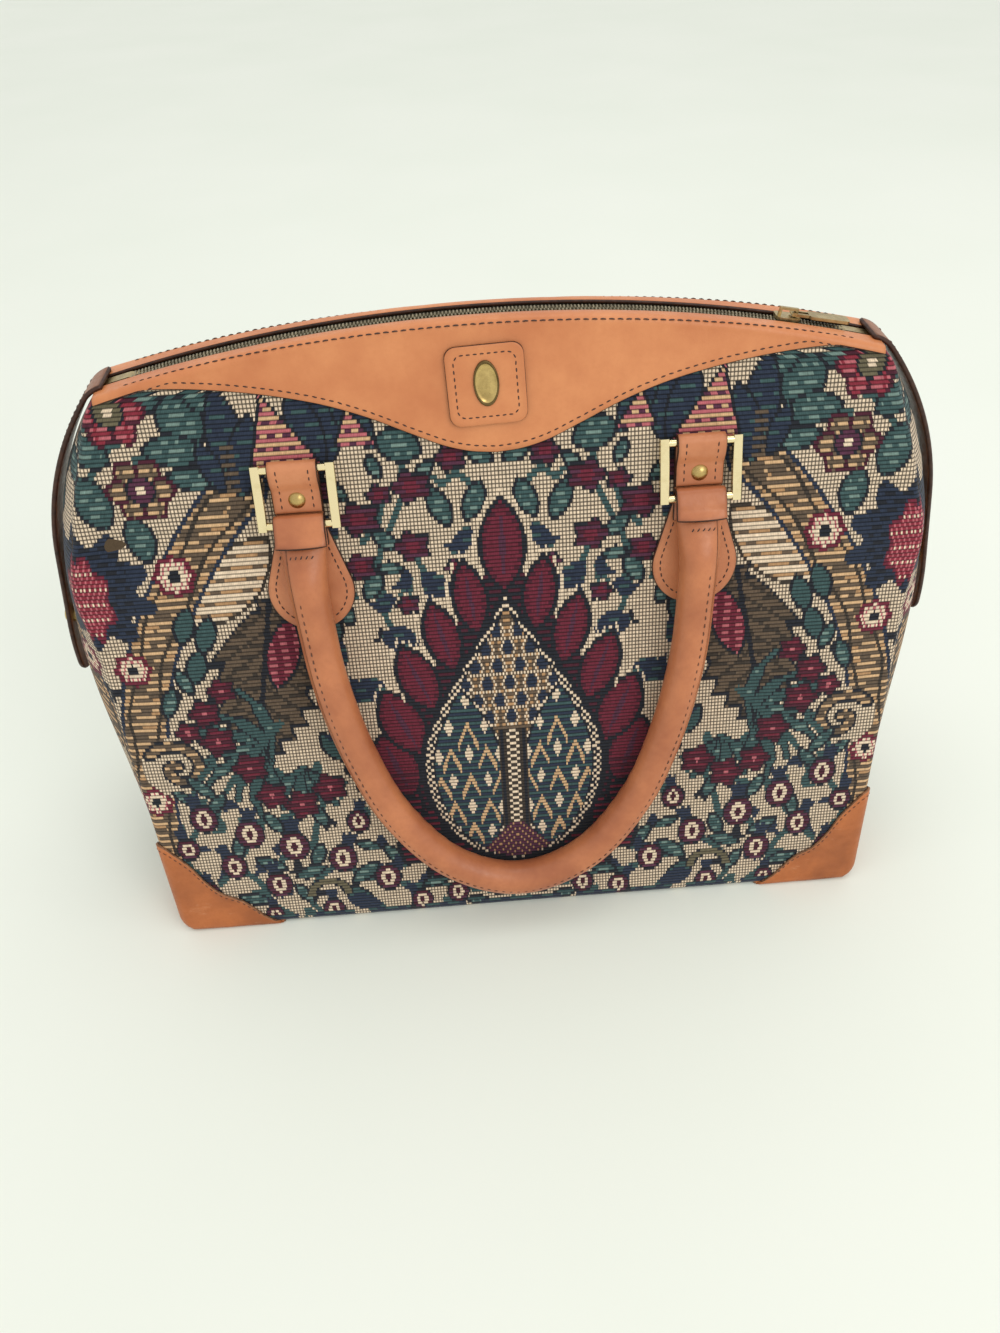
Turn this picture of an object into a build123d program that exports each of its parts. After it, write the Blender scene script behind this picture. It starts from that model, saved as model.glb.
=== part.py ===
"""Carpet bag: an A-shaped zip-top bag in tapestry with leather trim and brass fittings.

Frame: +X to the right seen from the front, the front faces -Y, +Z is up. The origin lies
under the middle of the base. Every size is in millimetres, every angle in degrees.
"""
from build123d import *

import math
import os

# ---- the bag's outer form
BASE_DEPTH = 176.0        # outside, front to back at the floor
TOP_DEPTH = 20.86         # outside, front to back at the zip: the bag is shaped like an A
BASE_WIDTH = 412.0        # outside, side to side at the floor
SIDE_FLARE = 2.44         # each side edge leans out by this angle
BASE_CORNER = 10.0        # corner radius of the panels at the floor
SHOULDER_DROP = 114.0     # the side edges begin to turn in this far below the ridge
SHOULDER_BEND = 90.0      # radius of that turn
SHOULDER_SLOPE = 22.0     # lean of the side edges above it
SHOULDER_TIP = 16.0       # corner radius at the ends of the zip
RIDGE_HEIGHT = 336.0      # top edge of the panels in the middle
RIDGE_RADIUS = 730.0      # the top edge is an arch

# ---- materials
CLOTH = 1.8               # tapestry with its backing
LINING = 0.8
BOARD = 3.0               # stiffener in the base
LEATHER = 1.8             # yokes and corner patches
STRAP = 2.0               # chapes and handle loops

# ---- end gussets: how far the middle swells past its edges, by share of the height to the zip's end
GUSSET_SWELL = ((0.032, 0.6), (0.112, 7.0), (0.223, 14.0), (0.351, 19.5), (0.479, 21.0), (0.574, 19.0),
                (0.657, 14.5), (0.728, 10.0), (0.791, 6.5), (0.868, 4.0), (0.932, 2.0), (0.976, 0.8))

# ---- leather yoke along the zip: lower edge as half-width and distance below the ridge
YOKE_DROP = ((0.0, 58.3), (20.0, 55.0), (40.0, 47.6), (60.0, 38.0), (80.0, 30.8), (110.0, 24.0),
             (145.0, 20.0))
YOKE_END_DROP = 19.6
ZIP_GAP = 12.0            # between the two rolled yoke edges

# ---- badge
BADGE = 36.0
BADGE_CORNER = 5.0
BADGE_SHIFT = -3.5        # from the middle of the bag
BADGE_DROP = 27.8         # its middle below the ridge, along the panel
BADGE_TILT = 2.0
PLATE_WIDE = 12.0
PLATE_HIGH = 21.0
PLATE_THICK = 1.4

# ---- corner patches: their edge as distance in from the bag's end and height
PATCH_EDGE = ((54.0, -4.0), (46.0, 12.5), (26.0, 27.5), (12.0, 47.5), (-8.0, 67.0))
PATCH_LIFT = 0.6          # the patches stop this far above the floor
PATCH_GUSSET_REACH = 46.0
PATCH_GUSSET_RISE = 66.0

# ---- rings, chapes and handles, measured along the panel
CHAPE_SPREAD = 98.0       # from the middle of the bag
CHAPE_WIDE = 23.0
CHAPE_DROP = 60.8         # the ring's upper bar below the ridge
PATCH_DROP = 64.5         # centre of the pear-shaped patch below the bar
CHAPE_PATCH_RADIUS = 21.5
NECK_DROP = 29.0          # foot of the neck below the bar
TAIL_DROP = 21.5          # lower end of the folded-over layer below the bar
RIVET_DROP = 15.5         # rivet below the bar
RIVET_HEAD = 8.5
RIVET_SHANK = 3.0
RIVET_DOME = 2.2
BAR = 4.0                 # diameter of a ring's upper and lower bars
BAR_CLEARANCE = 0.08      # all round, between a bar and the leather
RING_WIDE = 40.0
RING_SIDE = 4.5           # width of a ring's side bars
RING_SIDE_DEPTH = 4.0
RING_PITCH = 27.16        # from the upper bar's axis to the lower bar's
RING_STAND_OFF = 2.92     # the lower bar stands this much further from the panel
LOOP_WIDE = 24.0
HANDLE = 19.0             # diameter of the rolled handle
HANDLE_STAND_OFF = 12.2   # its centre line from the panel
HANDLE_TOP_DROP = 38.0    # the roll's ends below the ring's upper bar
HANDLE_ELBOW = (96.0, 0.6)    # half-width, and height as a share of the upper bar's
HANDLE_CORNER = (55.0, 0.11)
HANDLE_ELBOW_RADIUS = 150.0
HANDLE_CORNER_RADIUS = 70.0

# ---- end tabs with their press studs
TAB_WIDE = 20.0
TAB_THICK = 2.4
TAB_LEAVE = 40.0          # angle on the shoulder's tip where the tab leaves it
TAB_BEND_RADIUS = 178.0
TAB_BEND = 30.0
TAB_STRAIGHT = 83.0
STUD = 10.5
STUD_CAP = 2.8
STUD_FROM_TIP = 38.0

# ---- zip
TAPE = 0.8
TAPE_DEEP = 1.0           # the tape lies this far below the panels' top edge
COIL = 2.2                # height of the coil on its tape
COIL_WIDE = 6.0
COIL_SPLIT = 1.4          # groove between the two coils, where the slider's neck runs
STOP_LONG = 4.0
SLIDER_PLACE = 140.0      # from the middle of the bag
SLIDER_LONG = 12.0
SLIDER_WIDE = 8.4
SLIDER_PLATE = 1.4
SLIDER_PLAY = 0.25
BAIL_LONG = 9.2
BAIL_WIDE = 1.6
BAIL_WIRE = 1.2
BAIL_SPACE = 2.55
PULL_PIN = 1.6
PULL_PIN_PLACE = 2.2      # from the middle of the slider
PULL_ARM = 7.8
PULL_LONG = 28.0
PULL_WIDE = 7.2
PULL_THICK = 1.4
PULL_SLOT = 2.4

# ---- worked out from the above
SPAN = 900.0              # longer than the bag every way
TAN_LEAN = (BASE_DEPTH - TOP_DEPTH) / 2 / RIDGE_HEIGHT
COS_LEAN = math.cos(math.atan(TAN_LEAN))
SIN_LEAN = math.sin(math.atan(TAN_LEAN))
SHOULDER_START = RIDGE_HEIGHT - SHOULDER_DROP
PANEL_LENGTH = RIDGE_HEIGHT / COS_LEAN
HOLE_HEIGHT = PANEL_LENGTH - CHAPE_DROP
RIVET_HEIGHT = HOLE_HEIGHT - RIVET_DROP
HANDLE_TOP = HOLE_HEIGHT - HANDLE_TOP_DROP
FLARE = math.tan(math.radians(SIDE_FLARE))
FLARE_LENGTH = math.hypot(1.0, FLARE)
ARCH_CENTRE = RIDGE_HEIGHT - RIDGE_RADIUS
BORE = BAR / 2 + BAR_CLEARANCE
EYE = STRAP + BORE        # outer radius of the leather round a bar
FRONT = Plane(origin=(0, -BASE_DEPTH / 2, 0), x_dir=(1, 0, 0), z_dir=(0, -COS_LEAN, SIN_LEAN))


def side_centre(radius):
    """Centre of a corner circle that touches the floor and the right side edge."""
    return (BASE_WIDTH / 2 + FLARE * radius - radius * FLARE_LENGTH, radius)


def around(centre, radius, angle):
    """The point on a circle at an angle from +X."""
    turn = math.radians(angle)
    return (centre[0] + radius * math.cos(turn), centre[1] + radius * math.sin(turn))


def bend_centre():
    """Centre of the gentle turn at the foot of the shoulder, which touches the side edge."""
    start = (BASE_WIDTH / 2 + FLARE * SHOULDER_START, SHOULDER_START)
    return around(start, -SHOULDER_BEND, -SIDE_FLARE)


def tip_centre():
    """Centre of the shoulder's tip, which touches the sloping edge and the arch."""
    foot = around(BEND_AT, SHOULDER_BEND - SHOULDER_TIP, SHOULDER_SLOPE)
    along = around((0, 0), 1.0, SHOULDER_SLOPE + 90)
    reach = RIDGE_RADIUS - SHOULDER_TIP
    from_arch = (foot[0], foot[1] - ARCH_CENTRE)
    half_b = from_arch[0] * along[0] + from_arch[1] * along[1]
    c = from_arch[0] ** 2 + from_arch[1] ** 2 - reach**2
    step = -half_b + math.sqrt(half_b**2 - c)
    return (foot[0] + step * along[0], foot[1] + step * along[1])


CORNER_AT = side_centre(BASE_CORNER)
BEND_AT = bend_centre()
TIP_AT = tip_centre()
TIP_END = math.degrees(math.atan2(TIP_AT[1] - ARCH_CENTRE, TIP_AT[0]))
ZIP_END_HEIGHT = around(TIP_AT, SHOULDER_TIP, TIP_END)[1]


def side_edge_at(height):
    """The point on the right side edge at a height, with the angle of its outward normal."""
    bend_end = around(BEND_AT, SHOULDER_BEND, SHOULDER_SLOPE)
    tip_start = around(TIP_AT, SHOULDER_TIP, SHOULDER_SLOPE)
    if height <= SHOULDER_START:
        return (BASE_WIDTH / 2 + FLARE * height, height), -SIDE_FLARE
    if height <= bend_end[1]:
        angle = math.degrees(math.asin((height - BEND_AT[1]) / SHOULDER_BEND))
        return around(BEND_AT, SHOULDER_BEND, angle), angle
    if height <= tip_start[1]:
        slide = (height - bend_end[1]) * math.tan(math.radians(SHOULDER_SLOPE))
        return (bend_end[0] - slide, height), SHOULDER_SLOPE
    angle = math.degrees(math.asin((height - TIP_AT[1]) / SHOULDER_TIP))
    return around(TIP_AT, SHOULDER_TIP, angle), angle


def outline(grow=0.0):
    """Front view of the bag as a face in X and Z, grown outwards all round."""
    turns = [
        (CORNER_AT, BASE_CORNER + grow, -90.0, -SIDE_FLARE),
        (BEND_AT, SHOULDER_BEND + grow, -SIDE_FLARE, SHOULDER_SLOPE),
        (TIP_AT, SHOULDER_TIP + grow, SHOULDER_SLOPE, TIP_END),
    ]
    right = []
    for centre, radius, low, high in turns:
        points = [around(centre, radius, angle) for angle in (low, (low + high) / 2, high)]
        if right:
            right.append([right[-1][-1], points[0]])
        right.append(points)
    left = [[(-x, z) for x, z in reversed(points)] for points in reversed(right)]
    floor = [left[-1][-1], right[0][0]]
    arch = [right[-1][-1], (0.0, RIDGE_HEIGHT + grow), left[0][0]]
    edges = []
    for points in [floor, *right, arch, *left]:
        edges.append(ThreePointArc(*points) if len(points) == 3 else Line(*points))
    return make_face(edges)


def through_y(face):
    """Extrudes a face drawn in X and Z both ways along Y."""
    return extrude(Plane.XZ * face, amount=SPAN / 2, both=True)


def box(x, y, z):
    """A box from pairs of low and high values."""
    size = Box(x[1] - x[0], y[1] - y[0], z[1] - z[0])
    return Pos((x[0] + x[1]) / 2, (y[0] + y[1]) / 2, (z[0] + z[1]) / 2) * size


def half_depth(height, grow=0.0):
    """Distance from the middle plane to the leaning face at a height."""
    return BASE_DEPTH / 2 - height * TAN_LEAN + grow / COS_LEAN


def between_panels(grow=0.0):
    """Everything between the two leaning faces, moved outwards by grow."""
    low, high = -20.0, RIDGE_HEIGHT + 10
    points = [(-half_depth(low, grow), low), (half_depth(low, grow), low),
              (half_depth(high, grow), high), (-half_depth(high, grow), high)]
    return extrude(Plane.YZ * Polygon(*points, align=None), amount=SPAN / 2, both=True)


def leaning_slab(low, high):
    """A slab along the front face, between two heights above it."""
    return FRONT * box((-SPAN / 2, SPAN / 2), (-60, SPAN / 2), (low, high))


def band(inner, outer):
    """The strip that follows the bag's outline between two growths."""
    return through_y(outline(outer)) - through_y(outline(inner))


def gusset_shell(inner, outer):
    """The swelling end wall as a loft of arcs that climb the right side edge."""
    sections = []
    for share, swell in GUSSET_SWELL:
        place, angle = side_edge_at(share * ZIP_END_HEIGHT)
        normal = around((0, 0), 1.0, angle)
        wide = half_depth(place[1], LEATHER) + 0.4
        plane = Plane(origin=(place[0], 0, place[1]), x_dir=(normal[0], 0, normal[1]),
                      z_dir=(-normal[1], 0, normal[0]))
        arc_out = ThreePointArc((outer, -wide), (outer + swell, 0), (outer, wide))
        arc_in = ThreePointArc((inner, wide), (inner + swell, 0), (inner, -wide))
        ends = [Line((outer, wide), (inner, wide)), Line((inner, -wide), (outer, -wide))]
        sections.append(plane * make_face([arc_out, ends[0], arc_in, ends[1]]))
    return loft(sections, ruled=True)


def above_yoke_edge():
    """Everything above the yoke's scalloped lower edge."""
    right = [(x, RIDGE_HEIGHT - drop) for x, drop in YOKE_DROP]
    right.append((BASE_WIDTH / 2 - 1, RIDGE_HEIGHT - YOKE_END_DROP))
    points = [(-x, z) for x, z in reversed(right[1:])] + right
    edge = Spline(*points)
    top = SPAN / 2
    sides = Polyline(points[-1], (points[-1][0], top), (points[0][0], top), points[0])
    return through_y(make_face([edge, *sides.edges()]))


def eye_profile():
    """The round eye of a chape, half a ring of leather over the bar."""
    return (Circle(EYE) - Circle(BORE)) & Pos(EYE, 0) * Rectangle(2 * EYE, 2 * EYE)


def across(profile, wide):
    """Extrudes a profile drawn in height and stand-off both ways across the panel."""
    plane = Plane(origin=(0, 0, 0), x_dir=(0, 1, 0), z_dir=(1, 0, 0))
    return extrude(plane * profile, amount=wide / 2, both=True)


# ---- the cloth body

def make_panel():
    """The tapestry front, from the floor to the zip."""
    return leaning_slab(-CLOTH, 0) & through_y(outline())


def make_base():
    flat = box((-CORNER_AT[0], CORNER_AT[0]), (-SPAN / 2, SPAN / 2), (-1, CLOTH))
    return band(-CLOTH, 0) & between_panels(-CLOTH) & flat


def low_corner(inner, outer):
    """The turned-in strip below the gusset's first arc, at the right corner."""
    top = GUSSET_SWELL[0][0] * ZIP_END_HEIGHT + 2
    return band(inner, outer) & box((CORNER_AT[0], SPAN / 2), (-SPAN / 2, SPAN / 2), (-5, top))


def make_gusset():
    """The right end, with the turned-in corner at the floor."""
    return (gusset_shell(-CLOTH, 0) + low_corner(-CLOTH, 0)) & between_panels(-CLOTH)


def make_board():
    reach = CORNER_AT[0] - LINING
    return box((-reach, reach), (-SPAN / 2, SPAN / 2), (CLOTH, CLOTH + BOARD)) & between_panels(-CLOTH)


def make_lining():
    """One thin bag inside the tapestry, open along the zip."""
    floor = CLOTH + BOARD
    outer = through_y(outline(-CLOTH)) & between_panels(-CLOTH)
    outer = outer & box((-SPAN / 2, SPAN / 2), (-SPAN / 2, SPAN / 2), (floor, SPAN))
    inner = through_y(outline(-CLOTH - LINING)) & between_panels(-CLOTH - LINING)
    inner = inner & box((-SPAN / 2, SPAN / 2), (-SPAN / 2, SPAN / 2), (floor + LINING, SPAN))
    mouth_end = SLIDER_PLACE + SLIDER_LONG
    mouth = box((-mouth_end, mouth_end), (-SPAN / 2, SPAN / 2), (RIDGE_HEIGHT - 30, SPAN))
    return outer - inner - (mouth & between_panels(-CLOTH - LINING))


# ---- leather on the body

def above(height):
    return box((-SPAN / 2, SPAN / 2), (-SPAN / 2, SPAN / 2), (height, SPAN))


def make_yoke(gusset):
    """The scalloped front yoke, rolled over the top edge to the zip."""
    face = leaning_slab(0, LEATHER) & above_yoke_edge() & through_y(outline(LEATHER))
    roll = band(0, LEATHER) & between_panels(LEATHER) & above(ZIP_END_HEIGHT)
    roll = roll & box((-SPAN / 2, SPAN / 2), (-SPAN / 2, -ZIP_GAP / 2), (0, SPAN))
    return face + roll - gusset - flip_x(gusset)


def make_corner(gusset):
    """The right front corner patch, round the corner onto the gusset."""
    edge = [(BASE_WIDTH / 2 - inset, height) for inset, height in PATCH_EDGE]
    end = SPAN / 2
    rest = Polyline(edge[-1], (end, edge[-1][1]), (end, edge[0][1]), edge[0])
    right = through_y(make_face([Spline(*edge), *rest.edges()]))
    face = leaning_slab(0, LEATHER) & right & through_y(outline(LEATHER / 2))
    start = -half_depth(0, LEATHER)
    side_edge = Spline((start, PATCH_GUSSET_RISE), (start + 18, PATCH_GUSSET_RISE * 0.7),
                       (start + 34, PATCH_GUSSET_RISE * 0.4), (start + PATCH_GUSSET_REACH, -1))
    below = Polyline((start + PATCH_GUSSET_REACH, -1), (start - 5, -1), (start - 5, PATCH_GUSSET_RISE),
                     (start, PATCH_GUSSET_RISE))
    side_region = extrude(Plane.YZ * make_face([side_edge, *below.edges()]), amount=SPAN / 2)
    side = (gusset_shell(0, LEATHER) + low_corner(0, LEATHER)) & side_region & between_panels(LEATHER)
    return (face + side) & above(PATCH_LIFT) - gusset


def make_badge_patch():
    place = Pos(BADGE_SHIFT, PANEL_LENGTH - BADGE_DROP, LEATHER) * Rot(0, 0, BADGE_TILT)
    return FRONT * (place * extrude(RectangleRounded(BADGE, BADGE, BADGE_CORNER), LEATHER))


def make_badge_plate():
    place = Pos(BADGE_SHIFT, PANEL_LENGTH - BADGE_DROP + 1, 2 * LEATHER) * Rot(0, 0, BADGE_TILT)
    return FRONT * (place * extrude(Ellipse(PLATE_WIDE / 2, PLATE_HIGH / 2), PLATE_THICK))


# ---- ring, chape, rivet and handle, all drawn on the front face

def make_chape():
    """Pear-shaped patch whose neck goes over the ring's upper bar and back down."""
    half = CHAPE_WIDE / 2
    neck_height = HOLE_HEIGHT - NECK_DROP
    pear = Pos(0, HOLE_HEIGHT - PATCH_DROP) * Circle(CHAPE_PATCH_RADIUS)
    neck = Line((-half, neck_height), (half, neck_height))
    shape = make_hull([*pear.edges(), neck])
    strip = Pos(0, neck_height + NECK_DROP / 2) * Rectangle(CHAPE_WIDE, NECK_DROP)
    back_layer = extrude(shape + strip, STRAP)
    eye = across(Pos(HOLE_HEIGHT, EYE) * eye_profile(), CHAPE_WIDE)
    near, far = EYE + BORE, 2 * EYE
    knee = HOLE_HEIGHT - 3
    pinch = RIVET_HEIGHT + RIVET_HEAD / 2 - 0.5
    foot = HOLE_HEIGHT - TAIL_DROP
    tail = Polygon((HOLE_HEIGHT, far), (HOLE_HEIGHT, near), (knee, near), (pinch, STRAP),
                   (foot, STRAP), (foot, 2 * STRAP), (pinch + 1, 2 * STRAP), (knee, far), align=None)
    front_layer = across(tail, CHAPE_WIDE)
    hole = Pos(0, RIVET_HEIGHT, STRAP) * Cylinder(RIVET_SHANK / 2, 2 * STRAP)
    return back_layer + eye + front_layer - hole


def make_rivet():
    shank = Pos(0, 0, STRAP) * Cylinder(RIVET_SHANK / 2, 2 * STRAP)
    ball = (RIVET_HEAD**2 / 4 + RIVET_DOME**2) / (2 * RIVET_DOME)
    dome = Pos(0, 0, RIVET_DOME - ball) * Sphere(ball)
    dome = dome & Pos(0, 0, RIVET_DOME / 2) * Cylinder(RIVET_HEAD / 2, RIVET_DOME)
    return Pos(0, RIVET_HEIGHT, 0) * (shank + Pos(0, 0, 2 * STRAP) * dome)


def make_ring():
    """Two round bars joined by flat side bars, hanging from its upper bar."""
    lean = math.degrees(math.asin(RING_STAND_OFF / RING_PITCH))
    bar_long = RING_WIDE - RING_SIDE
    bar = Rot(0, 90, 0) * Cylinder(BAR / 2, bar_long)
    side_high = RING_PITCH + RING_SIDE
    side = Pos(0, -RING_PITCH / 2, 0) * Box(RING_SIDE, side_high, RING_SIDE_DEPTH)
    side = fillet(side.edges().filter_by(Axis.Y), 0.6)
    reach = bar_long / 2
    ring = bar + Pos(0, -RING_PITCH, 0) * bar + Pos(reach, 0, 0) * side + Pos(-reach, 0, 0) * side
    return Pos(0, HOLE_HEIGHT, EYE) * Rot(-lean, 0, 0) * ring


def ring_lower_bar():
    """Height along the panel and stand-off of a ring's lower bar."""
    drop = math.sqrt(RING_PITCH**2 - RING_STAND_OFF**2)
    return (HOLE_HEIGHT - drop, EYE + RING_STAND_OFF)


def make_handle():
    """Rolled leather handle in a U, with a flat eye round each ring's lower bar."""
    elbow = (HANDLE_ELBOW[0], HANDLE_ELBOW[1] * HOLE_HEIGHT)
    corner = (HANDLE_CORNER[0], HANDLE_CORNER[1] * HOLE_HEIGHT)
    points = [(-CHAPE_SPREAD, HANDLE_TOP), (-elbow[0], elbow[1]), (-corner[0], corner[1]),
              (corner[0], corner[1]), elbow, (CHAPE_SPREAD, HANDLE_TOP)]
    radii = [HANDLE_ELBOW_RADIUS, HANDLE_CORNER_RADIUS, HANDLE_CORNER_RADIUS, HANDLE_ELBOW_RADIUS]
    path = Pos(0, 0, HANDLE_STAND_OFF) * FilletPolyline(*points, radius=radii)
    section = Plane(origin=path @ 0, z_dir=path % 0) * Circle(HANDLE / 2)
    tube = sweep(section, path=path)
    height, stand_off = ring_lower_bar()
    eye = across(Pos(height, stand_off) * Circle(EYE), LOOP_WIDE)
    neck = Polygon((height, stand_off - EYE), (height, stand_off + EYE), (height - 7, stand_off + 6),
                   (HANDLE_TOP - 6, HANDLE_STAND_OFF + 5), (HANDLE_TOP - 6, HANDLE_STAND_OFF - 7),
                   (height - 7, stand_off - EYE), align=None)
    end = eye + across(neck, LOOP_WIDE)
    bore = across(Pos(height, stand_off) * Circle(BORE), LOOP_WIDE + 2)
    both = tube + Pos(CHAPE_SPREAD, 0, 0) * end + Pos(-CHAPE_SPREAD, 0, 0) * end
    return both - Pos(CHAPE_SPREAD, 0, 0) * bore - Pos(-CHAPE_SPREAD, 0, 0) * bore


# ---- end tabs and press studs, drawn for the right end

def tab_line(grow):
    """The tab's line in X and Z: over the shoulder's tip, a gentle bend, then straight down."""
    radius = SHOULDER_TIP + LEATHER + grow
    over = [around(TIP_AT, radius, angle) for angle in (TIP_END, (TIP_END + TAB_LEAVE) / 2, TAB_LEAVE)]
    heading = TAB_LEAVE - 90
    bend = JernArc(start=over[-1], tangent=around((0, 0), 1.0, heading),
                   radius=TAB_BEND_RADIUS + grow, arc_size=-TAB_BEND)
    bend_end = tuple(bend @ 1)[:2]
    end = around(bend_end, TAB_STRAIGHT, heading - TAB_BEND)
    return [ThreePointArc(*over), bend, Line(bend_end, end)], over[0], bend_end, end


def make_tab():
    outer, start, _, end = tab_line(TAB_THICK)
    inner, start_in, _, end_in = tab_line(0)
    strip = make_face([*outer, Line(end, end_in), *inner, Line(start_in, start)])
    tab = extrude(Plane.XZ * strip, amount=TAB_WIDE / 2, both=True)
    tip = tab.edges().sort_by(Axis.Z)
    corners = [edge for edge in tip[:8] if abs(edge.length - TAB_THICK) < 0.01]
    return fillet(corners[:2], TAB_WIDE / 2 - 0.5)


def stud_plane():
    """The tab's outer face where the press stud is, with z pointing out."""
    _, _, bend_end, _ = tab_line(TAB_THICK)
    heading = TAB_LEAVE - 90 - TAB_BEND
    place = around(bend_end, TAB_STRAIGHT - STUD_FROM_TIP, heading)
    normal = around((0, 0), 1.0, heading + 90)
    return Plane(origin=(place[0], 0, place[1]), x_dir=(0, 1, 0), z_dir=(normal[0], 0, normal[1]))


def make_stud_cap():
    cap = Pos(0, 0, STUD_CAP / 2) * Cylinder(STUD / 2, STUD_CAP)
    return stud_plane() * fillet(cap.edges().sort_by(Axis.Z)[-1], STUD_CAP * 0.7)


def make_stud_socket(gusset):
    """The lower half of the press stud, between the tab and the gusset."""
    post = stud_plane() * (Pos(0, 0, -TAB_THICK - 6) * Cylinder(STUD / 2, 12))
    outside = gusset_shell(0, 40)
    return post & outside - gusset


# ---- zip

def zip_strip(inner, outer, near, far, low):
    """A strip of the zip between two growths, along the ridge, above a height."""
    side = box((-SPAN / 2, SPAN / 2), (near, far), (low, SPAN))
    return band(inner, outer) & side


def make_tape():
    strip = zip_strip(-TAPE_DEEP - TAPE, -TAPE_DEEP, -SPAN / 2, -COIL_SPLIT / 2, ZIP_END_HEIGHT)
    return strip & between_panels(-CLOTH)


def coil_low():
    return ZIP_END_HEIGHT + STOP_LONG


def make_coil():
    return zip_strip(-TAPE_DEEP, COIL - TAPE_DEEP, -COIL_WIDE / 2, -COIL_SPLIT / 2, coil_low())


def make_stops():
    """The two metal stops, one at each end of the coils."""
    strip = zip_strip(-TAPE_DEEP, COIL - TAPE_DEEP, -COIL_WIDE / 2, COIL_WIDE / 2, ZIP_END_HEIGHT + 0.5)
    return strip & box((-SPAN / 2, SPAN / 2), (-SPAN / 2, SPAN / 2), (0, coil_low() - 0.1))


def slider_location():
    """Moves a piece drawn at the arch's centre, lying along +X, to the slider's place."""
    turn = math.degrees(math.asin(SLIDER_PLACE / RIDGE_RADIUS))
    return Pos(0, 0, ARCH_CENTRE) * Rot(0, turn, 0)


COIL_TOP = RIDGE_RADIUS - TAPE_DEEP + COIL
TAPE_UNDER = RIDGE_RADIUS - TAPE_DEEP - TAPE
PLATE_LOW = COIL_TOP + SLIDER_PLAY
PLATE_TOP = PLATE_LOW + SLIDER_PLATE
PIN_HEIGHT = PLATE_TOP + BAIL_SPACE / 2


def make_slider():
    half, wide = SLIDER_LONG / 2, SLIDER_WIDE / 2
    under = TAPE_UNDER - SLIDER_PLAY
    top = box((-half, half), (-wide, wide), (PLATE_LOW, PLATE_TOP))
    top = fillet(top.edges().filter_by(Axis.Z), 2.0)
    bottom = box((-half, half), (-wide, wide), (under - SLIDER_PLATE, under))
    bottom = fillet(bottom.edges().filter_by(Axis.Z), 2.0)
    neck_half = COIL_SPLIT / 2 - 0.15
    neck = box((1.0, half), (-neck_half, neck_half), (under, PLATE_LOW))
    body = top + bottom + neck
    cheek_in = COIL_WIDE / 2 + SLIDER_PLAY
    cheek_low = RIDGE_RADIUS - TAPE_DEEP + 0.6
    for sign in (-1, 1):
        low, high = sorted((sign * cheek_in, sign * wide))
        body += box((-half + 2, half - 2), (low, high), (cheek_low, PLATE_LOW))
    bail_half = BAIL_LONG / 2
    bail_top = PLATE_TOP + BAIL_SPACE
    for sign in (-1, 1):
        low, high = sorted((sign * bail_half, sign * (bail_half - BAIL_WIRE)))
        body += box((low, high), (-BAIL_WIDE / 2, BAIL_WIDE / 2), (PLATE_TOP, bail_top))
    body += box((-bail_half, bail_half), (-BAIL_WIDE / 2, BAIL_WIDE / 2), (bail_top, bail_top + BAIL_WIRE))
    return slider_location() * body


def make_pull():
    """The pull: a pin under the bail, two arms beside it and a flat tongue."""
    wide = PULL_WIDE / 2
    arm_wide = 1.0
    pin_half = PULL_SLOT / 2 + arm_wide
    pin = Rot(90, 0, 0) * Cylinder(PULL_PIN / 2, 2 * pin_half)
    half = PULL_THICK / 2
    tongue = box((PULL_ARM, PULL_LONG), (-wide, wide), (-half, half))
    tongue = fillet(tongue.edges().filter_by(Axis.Z), 1.6)
    pull = pin + tongue
    for sign in (-1, 1):
        low, high = sorted((sign * PULL_SLOT / 2, sign * pin_half))
        pull += box((0, PULL_ARM + 1), (low, high), (-half, half))
    return slider_location() * (Pos(PULL_PIN_PLACE, 0, PIN_HEIGHT) * pull)


# ---- placing and writing

def flip_x(shape):
    return mirror(shape, Plane.YZ)


def flip_y(shape):
    return mirror(shape, Plane.XZ)


def all_parts():
    parts = {}

    def front_and_back(name, shape):
        parts[f"{name}_front"] = shape
        parts[f"{name}_back"] = flip_y(shape)

    def left_and_right(name, shape):
        parts[f"{name}_right"] = shape
        parts[f"{name}_left"] = flip_x(shape)

    front_and_back("panel", make_panel())
    gusset = make_gusset()
    left_and_right("gusset", gusset)
    parts["base_panel"] = make_base()
    parts["base_board"] = make_board()
    parts["lining"] = make_lining()
    front_and_back("yoke", make_yoke(gusset))
    corner = make_corner(gusset)
    left_and_right("corner_patch_front", corner)
    left_and_right("corner_patch_back", flip_y(corner))
    parts["badge_patch"] = make_badge_patch()
    parts["badge_plate"] = make_badge_plate()
    for name, shape in (("chape", make_chape()), ("chape_rivet", make_rivet()), ("ring", make_ring())):
        placed = FRONT * (Pos(CHAPE_SPREAD, 0, 0) * shape)
        left_and_right(f"{name}_front", placed)
        left_and_right(f"{name}_back", flip_y(placed))
    front_and_back("handle", FRONT * make_handle())
    left_and_right("end_tab", make_tab())
    left_and_right("stud_cap", make_stud_cap())
    left_and_right("stud_socket", make_stud_socket(gusset))
    front_and_back("zip_tape", make_tape())
    front_and_back("zip_coil", make_coil())
    parts["zip_stops"] = make_stops()
    parts["zip_slider"] = make_slider()
    parts["zip_pull"] = make_pull()
    return parts


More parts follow.
